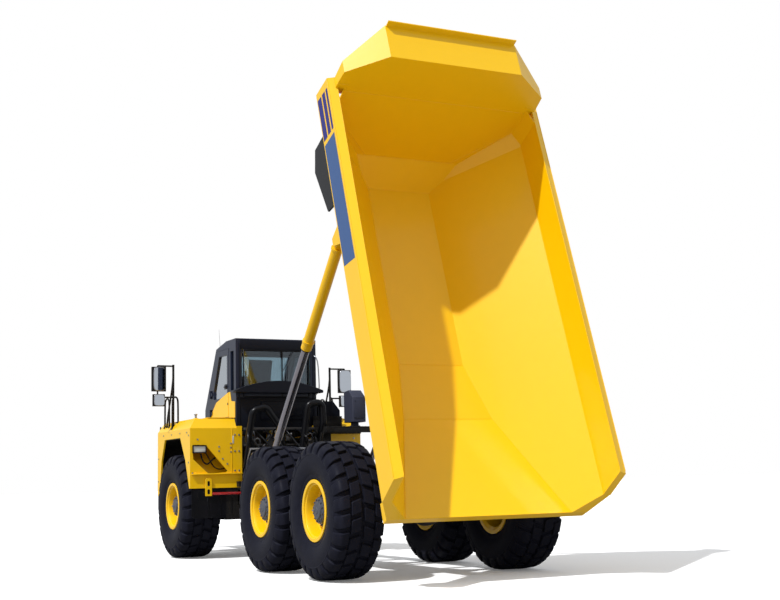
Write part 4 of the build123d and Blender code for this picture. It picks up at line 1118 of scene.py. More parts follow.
# ------------------------------------------------------------------ fenders
@dataclass(frozen=True)
class Fender:
    """A front fender: work lamp in the rear box, bolts, filler knob, reflector, mud flap and towing tag."""

    side: Side
    rear: float = 3.428
    filler: tuple[float, float] = (4.36, 1.17)
    outer: float = 1.56
    top: float = 2.33
    lamp: tuple[float, float] = (1.4, 1.816)
    lamp_size: tuple[float, float] = (0.24, 0.13)

    def work_lamp(self) -> None:
        """Build the work lamp: four bars round it, its body, stalk and lens."""
        (y, z), wide, tall, bar = self.lamp, self.lamp_size[0] / 2, self.lamp_size[1] / 2, 0.016
        shell = Cluster("work_lamp", Finishes.ABS, side=self.side)
        for low, high in (((-wide, tall - bar), (wide, tall)), ((-wide, -tall), (wide, bar - tall)),
                          ((-wide, -tall), (bar - wide, tall)), ((wide - bar, -tall), (wide, tall))):
            shell.block((self.rear - 0.03, y + low[0], z + low[1]),
                        (self.rear + 0.03, y + high[0], z + high[1]), 0.005)
        shell.block((self.rear + 0.012, y - wide, z - tall), (self.rear + 0.09, y + wide, z + tall), 0.012)
        shell.rod((self.rear + 0.05, y, z + tall), (self.rear + 0.05, y, z + 0.115), 0.012)
        shell.done()
        lens = Cluster("work_lamp_lens", Finishes.CLEAR_LENS, side=self.side)
        lens.block((self.rear - 0.016, y - wide + 0.012, z - tall + 0.012),
                   (self.rear + 0.02, y + wide - 0.012, z + tall - 0.012), 0.008)
        lens.done()

    def bolt_heads(self) -> None:
        """Build the bolts on the rear and outer faces."""
        bolts = Cluster("fender_bolts", Finishes.ZINC, side=self.side)
        bolts.heads([(self.rear, y, z) for y, z in (
            (1.055, 1.853), (1.055, 1.782), (0.847, 1.905), (0.847, 1.839), (0.847, 1.767), (0.777, 1.776),
            (0.703, 1.776), (0.777, 1.451), (0.703, 1.451), (0.991, 1.652), (0.911, 1.566), (1.429, 1.977),
            (1.518, 1.42), (0.703, 2.05), (0.777, 2.05))], (-1, 0, 0))
        bolts.heads([(x, self.outer, z) for x, z in (
            (3.5, 2.05), (3.5, 1.6), (3.6, 2.1), (4.0, 2.1), (4.5, 2.1), (5.0, 2.1), (5.32, 1.7), (5.32, 1.3))],
            (0, 1, 0))
        bolts.done()

    def seams(self) -> None:
        """Build the seams, ledges and the filler's foot."""
        trim = Cluster("fender_seams", Finishes.YELLOW, side=self.side)
        trim.block((self.rear - 0.006, 0.826, 1.385), (self.rear + 0.002, 0.838, 2.16), 0.002)
        trim.block((self.rear - 0.045, 0.655, 1.392), (self.rear + 0.002, 1.535, 1.412), 0.004)
        trim.block((3.52, 0.755, self.top + 0.012), (3.93, 1.22, self.top + 0.02), 0.004)
        trim.block((3.53, 0.8, self.top - 0.001), (3.55, 1.2, self.top + 0.014), 0.002)
        trim.rod((*self.filler, self.top - 0.004), (*self.filler, self.top + 0.05), 0.045, 24, 0.004)
        trim.block((self.rear + 0.1, self.outer - 0.125, self.top - 0.001),
                   (5.385, self.outer - 0.118, self.top + 0.003), 0.001)
        trim.pipe([(self.rear + 0.12, 1.27, self.top + 0.004), (self.rear + 0.12, 0.8, self.top + 0.004)],
                  0.006, sharp=True)
        trim.done()

    def liner(self) -> None:
        """Build the painted shade of the wheel arch: dark sheets under its top and on its inner wall, where the yellow
        arch lies in deep shade.
        """
        s = self.side.value
        # painted shade: dark sheets stand in for the deep shade under the arch's top and on its inner wall
        liner = Cluster("arch_liner", Finishes.CHASSIS, side=self.side)
        liner.block((3.92, 0.752, 2.05), (5.34, 0.764, 2.285), 0.002)
        liner.plate([(4.012, 2.022), (4.93, 2.022), (5.357, 1.886), (5.357, 1.12), (5.347, 1.12), (5.347, 1.878),
                     (4.928, 2.012), (4.012, 2.012)],
                    along_plane(max(s * 0.758, s * 1.528)), 0.77, 0.001)
        liner.done()

    def knob(self) -> None:
        """Build the filler's knob."""
        knob = Cluster("filler_knob", Finishes.ZINC, side=self.side)
        knob.rod((*self.filler, self.top + 0.045), (*self.filler, self.top + 0.1), 0.018, 16, 0.002)
        knob.rod((*self.filler, self.top + 0.1), (*self.filler, self.top + 0.125), 0.028, 16, 0.006)
        knob.done()

    def reflector(self) -> None:
        """Build the white reflector at the inner edge."""
        marker = Cluster("white_reflector", Finishes.CLEAR_LENS, side=self.side)
        marker.block((self.rear - 0.006, 0.795, 1.905), (self.rear + 0.001, 0.819, 2.035), 0.003)
        marker.done()

    def hoses(self) -> None:
        """Build the two hoses below the work lamp."""
        hoses = Cluster("fender_hoses", Finishes.RUBBER, side=self.side)
        hoses.pipe([(3.47, 1.36, 1.74), (3.5, 1.33, 1.62), (3.5, 1.24, 1.55), (3.49, 1.16, 1.64),
                    (3.5, 1.05, 1.7), (3.52, 0.93, 1.62), (3.5, 0.9, 1.45)], 0.014)
        hoses.pipe([(3.49, 1.3, 1.8), (3.53, 1.22, 1.7), (3.53, 1.15, 1.56), (3.5, 1.1, 1.5),
                    (3.52, 1.0, 1.47), (3.53, 0.9, 1.5)], 0.011)
        hoses.done()

    def mud_flap(self) -> None:
        """Build the ribbed flap behind the wheel."""
        middle = 1.13
        flap = Cluster("mud_flap", Finishes.RUBBER, side=self.side)
        flap.plate([(-0.4, 0.0), (0.4, 0.0), (0.4, -0.45), (0.36, -0.49), (-0.36, -0.49), (-0.4, -0.45)],
                   back_plane(3.448, self.side.value * middle, 1.168), 0.008, 0.003)
        for offset in (-0.3, -0.1, 0.1, 0.3):
            flap.block((3.436, middle + offset - 0.006, 0.72), (3.444, middle + offset + 0.006, 1.1), 0.002)
        flap.done()

    def tag(self) -> None:
        """Build the yellow towing tag with its two oval holes, painted as black ovals on its face, and the red marker
        strip beside it.
        """
        plane = back_plane(3.412, self.side.value * 1.248, 1.185)
        tag = Cluster("towing_tag", Finishes.YELLOW, side=self.side)
        tag.plate([(-0.058, -0.145), (0.058, -0.145), (0.058, 0.12), (0.045, 0.15), (-0.045, 0.15), (-0.058, 0.12)],
                  plane, 0.012, 0.002)
        tag.done()
        # painted shade: thin black ovals on the tag's face stand in for its two holes and the shade in them
        holes = Cluster("towing_tag_painted_holes", Finishes.RUBBER, side=self.side)
        for up in (0.06, -0.075):
            holes.plate(oval(0.042, 0.085, (0.0, up)), plane @ Matrix.Translation((0, 0, 0.012)), 0.001, 0)
        holes.done()
        strip = Cluster("red_marker", Finishes.RED_LENS, side=self.side)
        strip.block((3.404, 0.64, 1.055), (3.424, 1.185, 1.098), 0.006)
        strip.done()

    def build(self) -> None:
        """Build the fender's fittings."""
        self.work_lamp()
        self.bolt_heads()
        self.seams()
        self.liner()
        self.knob()
        self.reflector()
        self.tag()
        self.hoses()
        self.mud_flap()


# ------------------------------------------------------------------ cab
@dataclass(frozen=True)
class Cab:
    """The cab's fittings: seals, grab rails, lamps, handles, wipers, seat and what shows through the glass."""

    rear: float = 3.462
    half_width: float = 0.74
    wheel_radius: float = 0.205

    def panels(self) -> None:
        """Build the yellow panels below the side windows."""
        yellow = Cluster("cab_side_panel", Finishes.YELLOW)
        yellow.plate([(3.5, 2.345), (3.824, 2.345), (3.824, 2.8), (3.76, 2.8), (3.7, 2.64), (3.5, 2.62)],
                     along_plane(self.half_width + 0.01), 0.01)
        yellow.done()
        door = Cluster("door_lower_panel", Finishes.YELLOW, "cab_door")
        door.plate([(3.838, 2.378), (4.78, 2.378), (4.79, 2.46), (4.5, 2.66), (3.838, 2.8)],
                   along_plane(self.half_width + 0.012), 0.01)
        door.done()

    def handle(self) -> None:
        """Build the door's handle and lock."""
        lock = Cluster("door_handle", Finishes.ABS, "cab_door")
        lock.block((3.89, self.half_width - 0.004, 2.86), (4.05, self.half_width + 0.012, 2.95), 0.01)
        lock.block((3.91, self.half_width + 0.01, 2.89), (4.03, self.half_width + 0.034, 2.915), 0.008)
        lock.rod((3.86, self.half_width, 2.6), (3.86, self.half_width + 0.016, 2.6), 0.022, 24)
        lock.done()

    def rails(self) -> None:
        """Build the grab rail on the rear corner and the aerial."""
        rails = Cluster("cab_grab_rails", Finishes.ZINC)
        rails.pipe([(3.44, -0.7, 3.42), (3.38, -0.74, 3.4), (3.37, -0.76, 3.0), (3.37, -0.76, 2.78),
                    (3.44, -0.72, 2.74)], 0.011)
        rails.rod((4.5, 0.66, 3.54), (4.51, 0.67, 3.66), 0.012, 12, 0, 0.006)
        rails.rod((4.51, 0.67, 3.66), (4.54, 0.68, 3.98), 0.004, 8, 0, 0.002)
        rails.done()

    def rear_wall(self) -> None:
        """Build the shelf below the rear window and the housings on the rear wall."""
        shelf = Cluster("rear_window_shelf", Finishes.ABS)
        arc = [(y / 10, 0.165 * (1 - (y / 8.2) ** 2)) for y in range(-8, 9)]
        ends = [(0.8, 0.0), (0.8, -0.035), (0.45, -0.045), (-0.45, -0.045), (-0.8, -0.035), (-0.8, 0.0)]
        shelf.plate([*arc, *ends[1:-1]], frame_of((0, 1, 0), (0, 0, 1), at(self.rear - 0.19, 0, 2.8)), 0.19, 0.008)
        shelf.block((self.rear - 0.006, -0.725, 2.135), (self.rear + 0.001, 0.725, 2.69), 0.003)
        shelf.block((self.rear - 0.006, -0.66, 3.515), (self.rear + 0.001, 0.66, 3.68), 0.003)
        shelf.block((self.rear - 0.05, -0.55, 2.3), (self.rear, 0.3, 2.62), 0.03)
        shelf.block((self.rear - 0.07, -0.45, 2.36), (self.rear, -0.2, 2.56), 0.02)
        for y in (-0.68, 0.68):
            shelf.rod((self.rear - 0.01, y, 2.2), (self.rear - 0.01, y, 3.62), 0.008, 12)
        shelf.done()

    def roof_lamps(self) -> None:
        """Build the four lamps on the roof's front edge."""
        lamps = Cluster("roof_lamps", Finishes.ABS)
        lenses = Cluster("roof_lamp_lenses", Finishes.CLEAR_LENS)
        for y in (-0.56, -0.4, 0.4, 0.56):
            lamps.block((4.52, y - 0.06, 3.56), (4.6, y + 0.06, 3.66), 0.012)
            lenses.block((4.596, y - 0.05, 3.572), (4.606, y + 0.05, 3.648), 0.005)
        lamps.done()
        lenses.done()

    def wipers(self) -> None:
        """Build the wipers of the windscreen and the rear window."""
        wiper = Cluster("wipers", Finishes.ABS)
        wiper.rod((5.12, 0.25, 2.66), (4.99, 0.1, 3.06), 0.009)
        wiper.block((4.955, 0.02, 2.8), (4.975, 0.045, 3.28), 0.004)
        wiper.rod((self.rear - 0.012, -0.3, 3.48), (self.rear - 0.018, -0.12, 3.16), 0.007)
        wiper.block((self.rear - 0.02, -0.2, 2.92), (self.rear - 0.01, -0.185, 3.3), 0.003)
        wiper.done()

    def seals(self) -> None:
        """Lay the black rubber seals round the rear window and its middle bar."""
        seal = Cluster("rear_window_seal", Finishes.RUBBER)
        corners = [(self.rear - 0.004, y, z) for y, z in ((-0.6, 2.7), (0.6, 2.7), (0.6, 3.5), (-0.6, 3.5))]
        seal.pipe(corners, 0.014, sharp=True, cyclic=True)
        seal.block((self.rear - 0.01, -0.115, 2.7), (self.rear + 0.01, -0.095, 3.5), 0.004)
        seal.done()

    def seat_frame(self) -> None:
        """Build the seat's foot and armrests."""
        seat = Cluster("seat_frame", Finishes.ABS)
        x = Span.of("driver_seat").low.x - MIDDLE_AXLE.x
        seat.block((x + 0.16, -0.01, 2.36), (x + 0.56, 0.31, 2.46), 0.02)
        for y in (-0.115, 0.395):
            seat.block((x + 0.16, y, 2.83), (x + 0.44, y + 0.055, 2.87), 0.02)
        seat.done()

    def steering_wheel(self) -> None:
        """Build the steering wheel with three spokes."""
        wheel = Cluster("steering_wheel", Finishes.ABS)
        plane = frame_of((0, 1, 0), (0.55, 0, 0.83), at(4.6, 0.15, 2.98))

        def spot(angle: float, radius: float) -> Vector:
            """Return a place in the wheel's plane."""
            return plane @ Vector((radius * math.cos(angle), radius * math.sin(angle), 0.0))

        rim = [spot(i * math.pi / 8, self.wheel_radius) for i in range(16)]
        wheel.items.append(Bench.pipe(rim, 0.015, 3, cyclic=True))
        for angle in (0.5, 2.6, 4.7):
            wheel.items.append(Bench.rod(spot(0, 0), spot(angle, 0.2), 0.012, 12))
        wheel.items.append(Bench.rod(plane @ Vector((0, 0, -0.03)), plane @ Vector((0, 0, 0.03)), 0.05, 24, 0.01))
        wheel.done()

    def build(self) -> None:
        """Build all of the cab's fittings."""
        self.panels()
        self.handle()
        self.rails()
        self.rear_wall()
        self.roof_lamps()
        self.wipers()
        self.seals()
        self.seat_frame()
        self.steering_wheel()
        SeatCushions().build()


@dataclass(frozen=True)
class SeatCushions:
    """The driver's seat, inflated a little by cloth simulation, so that its cushions crown. Sizes in metres."""

    voxel: float = 0.012
    inset: float = 0.012
    most: float = 0.024
    pressure: float = 4.0
    steps: int = 20

    def skin(self) -> Item:
        """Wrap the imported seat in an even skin, drawn in by the inset.

        Returns:
            The skin.
        """
        Bench.clear()
        item = bpy.data.objects.new("seat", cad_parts["driver_seat"].data.copy())
        bpy.context.collection.objects.link(item)
        Bench.pick(item)
        Bench.edit(lambda: bpy.ops.mesh.remove_doubles(threshold=2 * SEAM_GAP))
        Bench.apply(item, "REMESH", mode="VOXEL", voxel_size=self.voxel)
        for vertex in item.data.vertices:
            vertex.co -= vertex.normal * self.inset
        return item

    def inflate(self, item: Item) -> None:
        """Blow a skin up, each place by no more than the most allowed.

        Args:
            item: The skin.
        """
        start = [vertex.co.copy() for vertex in item.data.vertices]
        cloth = item.modifiers.new("cloth", "CLOTH")
        cloth.settings.use_pressure = True
        cloth.settings.uniform_pressure_force = self.pressure
        cloth.settings.effector_weights.gravity = 0
        scene = bpy.context.scene
        for step in range(1, self.steps + 1):
            scene.frame_set(step)
        Bench.pick(item)
        bpy.ops.object.modifier_apply(modifier="cloth")
        scene.frame_set(1)
        for vertex, origin in zip(item.data.vertices, start):
            move = vertex.co - origin
            if move.length > self.most:
                vertex.co = origin + move.normalized() * self.most

    def build(self) -> None:
        """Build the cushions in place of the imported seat."""
        item = self.skin()
        self.inflate(item)
        Bench.apply(item, "SMOOTH", factor=0.6, iterations=6)
        Bench.smooth(item, 60)
        Bench.dress(item, Finishes.CLOTH, "tractor", "seat_cushions")
        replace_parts(item, "driver_seat")


# ------------------------------------------------------------------ mirrors and rails
@dataclass(frozen=True)
class Mirror:
    """The glass and bezels of one mirror mast, the rails round it and the boarding ladder below."""

    side: Side
    mast: float = 1.775
    ladder_rear: float = 5.41
    ladder_front: float = 5.73
    ladder_inner: float = 1.075
    ladder_outer: float = 1.43
    steps: tuple[float, ...] = (0.65, 1.02, 1.41, 1.8, 2.18)
    foot: float = 0.635

    def heads(self) -> None:
        """Build the tall flat mirror and the small round one."""
        bezel = Cluster("mirror_bezel", Finishes.ZINC, side=self.side)
        glass = Cluster("mirror_glass", Finishes.MIRROR, side=self.side)
        for z, wide, tall, turn in ((3.075, 0.235, 0.415, 15), (2.705, 0.195, 0.195, 6)):
            turn = math.radians(turn) if self.side is Side.LEFT else 0.0
            plane = frame_of((math.sin(turn), -math.cos(turn), 0), (0, 0, 1), at(4.528, self.side.value * self.mast, z))
            shape = [(wide / 2 * math.copysign(abs(math.cos(a)) ** 0.4, math.cos(a)),
                      tall / 2 * math.copysign(abs(math.sin(a)) ** 0.4, math.sin(a)))
                     for a in (2 * math.pi * (i + 0.5) / 28 for i in range(28))]
            bezel.plate(shape, plane, 0.008, 0.003)
            bezel.rod((4.532, self.mast, z), (4.55, self.mast, z), 0.05, 20, 0.002)
            pane = [(x * 0.92, y * 0.95) for x, y in shape]
            glass.plate(pane, plane @ Matrix.Translation((0, 0, 0.007)), 0.003, 0)
        bezel.done()
        glass.done()

    def rails(self) -> None:
        """Build the brace of the mast and the two loops on the fender's top."""
        rails = Cluster("rail", Finishes.CHASSIS, side=self.side)
        rails.pipe([(4.63, 1.5, 3.1), (4.66, 1.5, 2.95), (4.96, 1.5, 2.45), (5.02, 1.5, 2.245)], 0.017)
        # the rear loop stands clear of the open door
        for start, end in (((4.49, 1.45, 2.312), (4.575, 1.53, 2.202)), ((4.86, 1.5, 2.245), (5.14, 1.5, 2.245))):
            route = [start, (*start[:2], 2.67)]
            for share, height in ((0.12, 2.73), (0.35, 2.76), (0.65, 2.76), (0.88, 2.73)):
                route.append((start[0] + (end[0] - start[0]) * share, start[1] + (end[1] - start[1]) * share, height))
            rails.pipe([*route, (*end[:2], 2.67), end], 0.016)
            for x, y, z in (start, end):
                rails.rod((x, y, z - 0.007), (x, y, z + 0.011), 0.034, 20, 0.002)
        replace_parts(rails.done(), *(["handrails"] if self.side is Side.LEFT else []))

    def ladder(self) -> None:
        """Build the boarding ladder ahead of the fender."""
        ladder = Cluster("ladder", Finishes.CHASSIS, side=self.side)
        for y in (self.ladder_inner, self.ladder_outer):
            for x in (self.ladder_rear, self.ladder_front):
                ladder.pipe([(x, y, self.foot), (x, y, 2.2), (x + (5.57 - x) * 0.4, y, 2.285)], 0.013)
            ladder.pipe([(self.ladder_rear, y, self.foot), (self.ladder_front, y, self.foot)], 0.013)
        for z in self.steps:
            ladder.block((5.4, self.ladder_inner, z - 0.012), (5.735, self.ladder_outer, z + 0.004), 0.003)
            for index in range(7):
                x = 5.42 + index * 0.048
                ladder.block((x, 1.09, z + 0.002), (x + 0.012, 1.415, z + 0.014), 0.002)
        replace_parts(ladder.done(), *(["steps"] if self.side is Side.LEFT else []))

    def build(self) -> None:
        """Build the mirrors, rails and ladder of this side."""
        self.heads()
        self.rails()
        self.ladder()


# ------------------------------------------------------------------ rear of the tractor
@dataclass(frozen=True)
class RearClutter:
    """The valves, pipes and hoses that stand behind the cab on the frame, and the deck with the exhaust."""

    deck_rear: float = 2.842
    deck_front: float = 3.425
    deck_right: float = -1.555
    deck_top: float = 2.16
    bar: tuple[float, float] = (3.02, 1.8)

    def deck(self) -> None:
        """Build the deck right of the cab with its ribs, leg and hose rack."""
        deck = Cluster("deck", Finishes.CHASSIS)
        deck.block((self.deck_rear, self.deck_right, 2.13), (self.deck_front, -0.805, self.deck_top), 0.004)
        deck.block((self.deck_rear, self.deck_right, 2.055), (2.89, -0.66, self.deck_top), 0.006)
        deck.block((3.38, self.deck_right, 2.055), (self.deck_front, -0.805, self.deck_top), 0.006)
        deck.block((self.deck_rear, -0.8, 2.055), (2.95, -0.655, self.deck_top), 0.006)
        for index in range(11):
            y = -1.5 + index * 0.066
            deck.block((2.9, y, 2.158), (3.37, y + 0.01, 2.165), 0.002)
        leg = [(2.905, 2.06), (2.955, 2.06), (3.335, 1.345), (3.275, 1.345)]
        deck.plate(leg, along_plane(-0.6), 0.03, 0.004)
        deck.block((3.222, -0.64, 1.306), (3.338, -0.512, 1.35), 0.004)
        deck.block((3.222, 0.512, 1.306), (3.338, 0.64, 1.35), 0.004)
        deck.rod((3.28, 0.575, 1.34), (3.28, 0.575, 2.12), 0.02, 16)
        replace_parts(deck.done(), "rear_deck")

    def exhaust(self) -> None:
        """Build the exhaust box on its stub, with a chamfered top and a pressed panel."""
        shell = Cluster("exhaust", Finishes.HEAT_GREY)
        side = [(2.858, 2.235), (3.235, 2.235), (3.235, 2.775), (3.035, 2.795), (2.858, 2.665)]
        shell.plate(side, along_plane(-1.165), 0.245, 0.008)
        shell.block((2.85, -1.385, 2.3), (2.86, -1.19, 2.62), 0.003)
        shell.spun([(0.062, 0.0), (0.095, 0.0), (0.095, 0.014), (0.07, 0.016), (0.066, 0.075), (0.062, 0.075)],
                   (3.05, -1.285, 2.166), (0, 0, 1))
        shell.heads([(2.85, y, z) for y in (-1.37, -1.205) for z in (2.32, 2.6)], (-1, 0, 0), 0.008, 0.006)
        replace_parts(shell.done(), "exhaust_box")

    def valves(self) -> None:
        """Build the valve bodies, filters and the two shelves that carry them."""
        valves = Cluster("valve_blocks", Finishes.CASTING)
        for x, y, z, size in ((3.25, 0.42, 1.62, 0.1), (3.22, 0.2, 1.63, 0.12), (3.26, -0.05, 1.62, 0.1),
                              (3.24, -0.3, 1.64, 0.12), (3.3, 0.33, 1.8, 0.08), (3.3, 0.05, 1.82, 0.09),
                              (3.3, -0.42, 1.83, 0.09), (3.36, 0.55, 1.95, 0.07), (3.38, -0.18, 1.98, 0.08)):
            valves.block((x - size / 2, y - size / 2, z - size / 2), (x + size / 2, y + size / 2, z + size / 2), 0.01)
            valves.rod((x, y, z), (x, y, z + size * 0.9), size * 0.22, 12)
            valves.rod((x, y, z), (x - size * 0.8, y, z), size * 0.18, 12)
        valves.rod((3.33, 0.16, 1.78), (3.33, 0.16, 2.06), 0.055, 24, 0.006)
        valves.rod((3.33, -0.58, 1.66), (3.33, -0.58, 1.96), 0.06, 24, 0.006)
        valves.block((3.36, -0.66, 2.13), (3.45, 0.62, 2.17), 0.004)
        valves.block((3.36, -0.66, 1.86), (3.4, 0.62, 1.89), 0.004)
        valves.done()

    def fittings(self) -> None:
        """Build the unions that stand out of the valves."""
        fittings = Cluster("pipe_fittings", Finishes.ZINC)
        for x, y, z in ((3.19, 0.42, 1.66), (3.15, 0.2, 1.66), (3.2, -0.05, 1.65), (3.17, -0.3, 1.67),
                        (3.25, 0.33, 1.84), (3.25, 0.05, 1.87), (3.24, -0.42, 1.88), (3.31, 0.55, 1.99),
                        (3.33, -0.18, 2.03), (3.3, 0.16, 2.08), (3.3, -0.58, 1.98), (3.2, 0.56, 1.7)):
            fittings.rod((x, y, z), (x - 0.05, y, z + 0.02), 0.018, 6)
            fittings.rod((x - 0.045, y, z + 0.018), (x - 0.08, y, z + 0.03), 0.013, 12)
        fittings.done()

    def pipes(self) -> None:
        """Build the hoses, which sag from the valves up to the deck."""
        pipes = Cluster("hydraulic_pipes", Finishes.RUBBER)
        runs = [((3.1, 0.42, 1.68), (3.34, 0.6, 2.1)), ((3.07, 0.2, 1.69), (3.33, 0.46, 2.12)),
                ((3.12, -0.05, 1.67), (3.34, 0.28, 2.13)), ((3.09, -0.3, 1.7), (3.35, -0.1, 2.13)),
                ((3.16, 0.33, 1.86), (3.36, 0.12, 2.12)), ((3.16, -0.42, 1.9), (3.36, -0.34, 2.13)),
                ((3.22, 0.16, 2.1), (3.37, 0.02, 2.13)), ((3.22, -0.58, 2.01), (3.36, -0.5, 2.13))]
        for index, (start, end) in enumerate(runs):
            sag = 0.1 + 0.03 * (index % 3)
            middle = [(a + b) / 2 for a, b in zip(start, end)]
            pipes.pipe([start, (start[0] - 0.1, start[1], start[2] + 0.05),
                        (middle[0] - sag, middle[1], middle[2]), (end[0] - 0.08, end[1], end[2] - 0.02), end], 0.014)
        pipes.pipe([(3.3, 0.66, 1.5), (3.18, 0.68, 1.62), (3.1, 0.66, 1.9), (3.18, 0.62, 2.1),
                    (3.34, 0.58, 2.16)], 0.024)
        pipes.pipe([(3.32, -0.64, 1.5), (3.18, -0.66, 1.66), (3.12, -0.62, 1.86), (3.2, -0.58, 2.05),
                    (3.36, -0.54, 2.12)], 0.024)
        pipes.done()

    def back_plate(self) -> None:
        """Build the dark plate on the right fender's rear."""
        plate = Cluster("fender_back_plate", Finishes.CHASSIS)
        plate.block((3.408, -1.2, 2.166), (3.424, -0.655, 2.365), 0.003)
        plate.block((3.408, -0.985, 1.62), (3.424, -0.655, 2.125), 0.003)
        plate.block((3.408, -0.803, 2.12), (3.424, -0.655, 2.17), 0.003)
        for y in (-0.97, -0.67):
            plate.heads([(3.408, y, z) for z in (1.66, 1.85, 2.08, 2.33)], (-1, 0, 0), 0.008, 0.006)
        plate.done()

    def elbows(self) -> None:
        """Build the bent steel pipes with their unions."""
        elbows = Cluster("pipe_elbows", Finishes.ZINC)
        for y, z in ((0.6, 2.02), (0.5, 1.9), (-0.46, 1.98), (0.26, 1.96), (-0.16, 1.72)):
            elbows.pipe([(3.31, y, z), (3.23, y - 0.01, z + 0.06), (3.2, y - 0.05, z + 0.09),
                         (3.21, y - 0.1, z + 0.05), (3.3, y - 0.13, z - 0.02)], 0.011)
            elbows.rod((3.245, y - 0.005, z + 0.05), (3.225, y - 0.012, z + 0.07), 0.018, 6)
        elbows.done()

    def cross_rods(self) -> None:
        """Build the bar across the rear with its two stays."""
        rail = Cluster("cross_rods", Finishes.ZINC)
        ahead, up = self.bar
        rail.rod((ahead, -0.7, up), (ahead, 0.66, up), 0.016)
        for y in (-0.68, 0.64):
            rail.rod((ahead, y, up), (3.3, y, 1.52), 0.014)
        rail.done()

    def build(self) -> None:
        """Build all that stands between the cab and the dump body."""
        self.deck()
        self.exhaust()
        self.valves()
        self.fittings()
        self.pipes()
        self.back_plate()
        self.elbows()
        self.cross_rods()


# ------------------------------------------------------------------ hood and front
@dataclass(frozen=True)
class Front:
    """The hood's grille, louvres and latches, and the bumper with its lamps and towing eyes."""

    nose: float = 7.108
    half_width: float = 1.12
    bumper_low: float = 0.762
    bumper_tall: float = 0.416
    eye: tuple[float, float, float] = (7.04, 0.54, 0.725)

    def bumper(self) -> None:
        """Build the bumper beam with swept ends and its two towing eyes."""
        beam = Cluster("bumper_beam", Finishes.CHASSIS)
        outline = [(6.785, -self.half_width), (6.96, -self.half_width), (self.nose, -0.86), (self.nose, 0.86),
                   (6.96, self.half_width), (6.785, self.half_width), (6.96, 0.84), (6.96, -0.84)]
        beam.plate(outline, frame_of((1, 0, 0), (0, 1, 0), at(0, 0, self.bumper_low)), self.bumper_tall, 0.012)
        beam.block((7.096, -0.36, 0.8), (7.11, 0.36, 1.1), 0.004)
        ahead, left, up = self.eye
        for s in (1, -1):
            beam.spun([(0.0245, -0.02), (0.056, -0.02), (0.058, -0.016), (0.058, 0.016), (0.056, 0.02),
                       (0.0245, 0.02)], (ahead, s * left, up), (0, 1, 0), 40)
            beam.block((6.992, s * 0.522, 0.765), (7.088, s * 0.558, 0.785), 0.002)
            for x in (6.998, 7.06):
                beam.block((x, s * 0.522, 0.73), (x + 0.024, s * 0.558, 0.775), 0.002)
            beam.heads([(self.nose, s * y, z) for y in (0.45, 0.8) for z in (0.82, 1.1)], (1, 0, 0))
        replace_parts(beam.done(), "front_bumper")

    def grille(self) -> None:
        """Build the grille on the hood's front."""
        front = Span.of("hood").high.x - MIDDLE_AXLE.x
        log.info("the hood's front stands %.2f m ahead of the middle axle", front)
        grille = Cluster("grille", Finishes.ABS, "hood")
        grille.block((front - 0.012, -0.44, 1.5), (front + 0.004, 0.44, 2.16), 0.006)
        for index in range(12):
            z = 1.53 + index * 0.052
            grille.block((front, -0.43, z), (front + 0.016, 0.43, z + 0.018), 0.004)
        grille.done()

    def vents(self) -> None:
        """Build the louvres on the hood's sides."""
        vents = Cluster("hood_vents", Finishes.ABS, "hood")
        for s in (1, -1):
            for index in range(8):
                z = 1.62 + index * 0.045
                vents.block((5.55, s * 0.636, z), (6.35, s * 0.648, z + 0.022), 0.004)
        vents.done()

    def headlamps(self) -> None:
        """Build the headlamps in the bumper."""
        lamps = Cluster("headlamp_lenses", Finishes.CLEAR_LENS)
        housings = Cluster("headlamp_housings", Finishes.ABS)
        for s in (1, -1):
            housings.block((7.095, s * 0.47, 0.86), (7.112, s * 0.83, 1.06), 0.008)
            for y in (0.56, 0.74):
                lamps.spun([(0, 0.016), (0.055, 0.012), (0.075, 0.0), (0.078, -0.01), (0, -0.01)],
                           (7.1, s * y, 0.96), (1, 0, 0))
        lamps.done()
        housings.done()

    def signals(self) -> None:
        """Build the turn signals on the bumper's ends."""
        signals = Cluster("turn_signals", Finishes.AMBER_LENS)
        for s in (1, -1):
            signals.block((7.0, s * 0.985, 0.9), (7.06, s * 1.055, 1.02), 0.01)
        signals.done()

    def latches(self) -> None:
        """Build the hood's latches."""
        latch = Cluster("hood_latches", Finishes.RUBBER, "hood")
        for s in (1, -1):
            latch.block((5.3, s * 0.636, 1.46), (5.38, s * 0.654, 1.6), 0.01)
        latch.done()

    def build(self) -> None:
        """Build the front's fittings."""
        self.bumper()
        self.grille()
        self.vents()
        self.headlamps()
        self.signals()
        self.latches()


